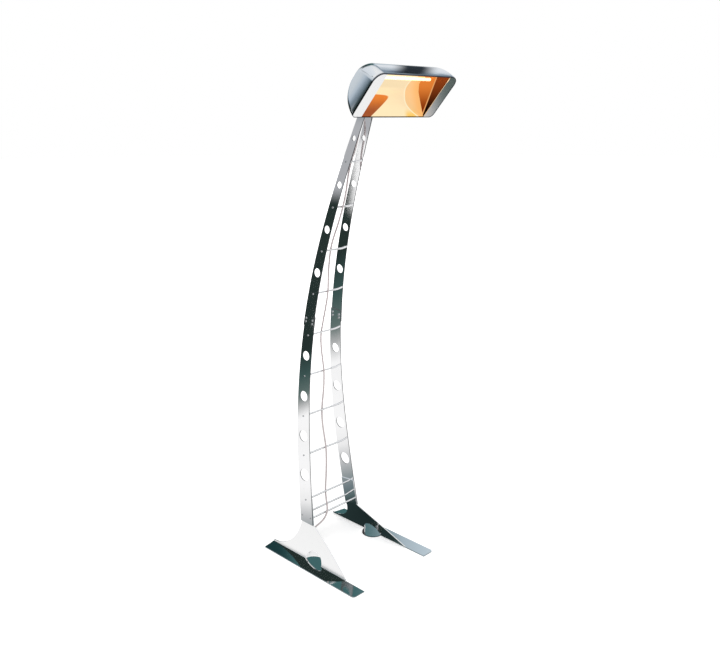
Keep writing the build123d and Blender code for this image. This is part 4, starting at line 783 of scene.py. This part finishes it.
black_plastic = moulded("black_plastic", (0.018, 0.018, 0.020), (0.045, 0.045, 0.048), 0.42)
plug_rubber = moulded("plug_rubber", (0.05, 0.045, 0.045), (0.10, 0.09, 0.09), 0.5)
fibre = moulded("fibre", (0.12, 0.10, 0.08), (0.30, 0.25, 0.20), 0.75, 500.0)
terminal_plastic = moulded("terminal_plastic", (0.72, 0.70, 0.63), (0.84, 0.82, 0.76), 0.5)
sleeve = moulded("wire_sleeve", (0.55, 0.54, 0.50), (0.72, 0.71, 0.67), 0.6)
plated = polished("plug_metal", (0.80, 0.79, 0.77), 0.15, 0.02)
dress(black_plastic, "cable_gland", "gland_nut", "switch_housing", "switch_rocker", "cord_clip")
dress(fibre, "friction_washers")
dress(terminal_plastic, "terminal_block")
dress(sleeve, "lamp_leads", "supply_leads")
dress(plated, "plug_pins")
print("materials so far", len(bpy.data.materials))

# %% [markdown]
# ## The lamp's coiled wire
# The tungsten wire in the tube is one long, tight coil, which the CAD model holds as a thin rod. It
# could be a spline with a round section, but a small ring screwed along the tube's axis follows the
# way it is wound and keeps every turn alike, so a Screw modifier makes it.

# %% Coiled wire
def only(made):
    """Makes one object the only selected and active one."""
    bpy.ops.object.select_all(action="DESELECT")
    made.select_set(True)
    bpy.context.view_layer.objects.active = made


WIRE = 0.00036                   # thickness of the tungsten wire
WIRE_PITCH = 0.00125             # from turn to turn
WIRE_SIDES, TURN_STEPS = 6, 10   # few of both, because there are hundreds of turns

wire_low, wire_high = map(Vector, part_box("lamp_filament"))
coil_radius = (wire_high.z - wire_low.z) / 2 - WIRE / 2
coil_turns = int((wire_high.x - wire_low.x - WIRE * 2) / WIRE_PITCH)
bpy.ops.object.select_all(action="DESELECT")
bpy.ops.mesh.primitive_circle_add(vertices=WIRE_SIDES, radius=WIRE / 2, fill_type="NOTHING")
coiled = bpy.context.object
coiled.name = "coiled_wire"
bpy.ops.object.mode_set(mode="EDIT")
bpy.ops.mesh.select_all(action="SELECT")
bpy.ops.transform.translate(value=(0, coil_radius, 0))
bpy.ops.object.mode_set(mode="OBJECT")
winding = coiled.modifiers.new("winding", "SCREW")
winding.axis, winding.screw_offset, winding.iterations = "X", WIRE_PITCH, coil_turns
winding.steps = winding.render_steps = TURN_STEPS
winding.use_merge_vertices = False
only(coiled)
bpy.ops.object.modifier_apply(modifier=winding.name)
bpy.ops.object.mode_set(mode="EDIT")
bpy.ops.mesh.select_all(action="SELECT")
bpy.ops.transform.translate(value=(wire_low.x + WIRE, (wire_low.y + wire_high.y) / 2,
                                   (wire_low.z + wire_high.z) / 2))
bpy.ops.mesh.select_all(action="DESELECT")
bpy.ops.mesh.select_non_manifold()
bpy.ops.mesh.fill_holes(sides=0)
bpy.ops.mesh.select_all(action="SELECT")
bpy.ops.mesh.normals_make_consistent(inside=False)
bpy.ops.object.mode_set(mode="OBJECT")
bpy.ops.object.shade_smooth()
stand_for(coiled, hot_wire, "lamp_filament")
print("coiled wire", coil_turns, "turns,", len(coiled.data.polygons), "faces", coiled.dimensions)

# %% [markdown]
# ## The plug and its strain relief
# Both are moulded rubber. The relief is a cone cut into rings, so that it bends with the cord, and
# the plug widens from its neck in steps that the fingers can pull on, with two flat grooves at the
# sides for a socket's guides. A profile spun round the axis would do it too. Here one ring of
# points is extruded along the axis and scaled at every step of its profile, which closes both ends
# by itself. The grooves are then cut out of the plug.

# %% Turned pieces
FACETS = 40
RINGS, RING_PITCH = 6, 2.9       # of the strain relief, in millimetres
GROOVE_SIZE = (0.008, 0.003, 0.0182)
GROOVE_OUT, GROOVE_ALONG = 0.0185, 0.044    # its middle, from the plug's axis and from its start


def turned(name, profile):
    """A round piece along the plug's axis, through (way along, radius) pairs in millimetres."""
    bpy.ops.object.select_all(action="DESELECT")
    (start, radius), *later = [(along / 1000, radius / 1000) for along, radius in profile]
    bpy.ops.mesh.primitive_circle_add(vertices=FACETS, radius=radius, fill_type="NGON",
                                      location=(0, 0, start))
    made = bpy.context.object
    made.name = name
    bpy.ops.object.transform_apply(location=True)
    bpy.ops.object.mode_set(mode="EDIT")
    bpy.ops.mesh.select_all(action="SELECT")
    for along, reach in later:
        bpy.ops.mesh.extrude_region_move(TRANSFORM_OT_translate={"value": (0, 0, along - start)})
        bpy.ops.transform.resize(value=(reach / radius, reach / radius, 1),
                                 center_override=(0, 0, along))
        start, radius = along, reach
    bpy.ops.mesh.select_all(action="SELECT")
    bpy.ops.mesh.normals_make_consistent(inside=False)
    bpy.ops.object.mode_set(mode="OBJECT")
    return made


def lay_down(made):
    """Turns a piece from the Z axis onto the plug's axis, with its place kept in the mesh."""
    made.matrix_world = (Matrix.Translation(PLUG_START) @ Matrix.Rotation(PLUG_HEADING, 4, "Z")
                         @ Matrix.Rotation(radians(90), 4, "Y"))
    only(made)
    bpy.ops.object.transform_apply(location=True, rotation=True, scale=True)
    bpy.ops.object.shade_smooth_by_angle(angle=radians(35))


relief_profile = [(0, 4.6), (0.4, 5.5)]
for ring in range(RINGS):
    cone, at = 5.55 + ring * 0.5, ring * RING_PITCH
    relief_profile += [(1.9 + at, cone), (2.2 + at, cone - 1.2), (2.9 + at, cone - 1.1),
                       (3.2 + at, cone + 0.42)]
relief_profile[-1] = (18.0, 8.4)
relief = turned("strain_relief", relief_profile)
lay_down(relief)
stand_for(relief, plug_rubber, "plug_relief")

body = turned("plug_moulding", [
    (18.0, 9.6), (18.6, 10.8), (23.0, 12.6), (23.6, 12.0), (24.4, 12.1), (25.0, 13.5),
    (28.0, 14.8), (28.6, 14.1), (29.4, 14.3), (30.0, 15.7), (33.6, 17.4), (34.6, 18.1),
    (35.6, 18.5), (49.8, 18.5), (51.2, 18.2), (51.9, 17.4), (52.0, 16.6)])
for side in (-1, 1):
    bpy.ops.object.select_all(action="DESELECT")
    bpy.ops.mesh.primitive_cube_add(size=1.0, location=(0, side * GROOVE_OUT, GROOVE_ALONG))
    groove = bpy.context.object
    groove.scale = GROOVE_SIZE
    bpy.ops.object.transform_apply(location=True, scale=True)
    only(body)
    cut = body.modifiers.new("groove", "BOOLEAN")
    cut.object, cut.operation, cut.solver = groove, "DIFFERENCE", "EXACT"
    bpy.ops.object.modifier_apply(modifier=cut.name)
    bpy.data.objects.remove(groove)
lay_down(body)
stand_for(body, plug_rubber, "plug_body")

# %% [markdown]
# ## The cord on its two bodies
# The cord is fixed to the tower from the first rungs down and to the head at its gland, and a real
# cord bends where the head tilts. Here the cord gets its rubber, the CAD model's pieces of cord are
# hidden, and its place is kept in its mesh.

# %% Give the cord its rubber and hide the CAD model's cord
cord.data.materials.append(rubber.material)
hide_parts("cord_head", "cord_tower", "cord_floor", "cord_coil", "cord_tail")
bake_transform(cord)
print("cord hung between", GLAND_END[:], "and its plug at", PLUG_START[:])
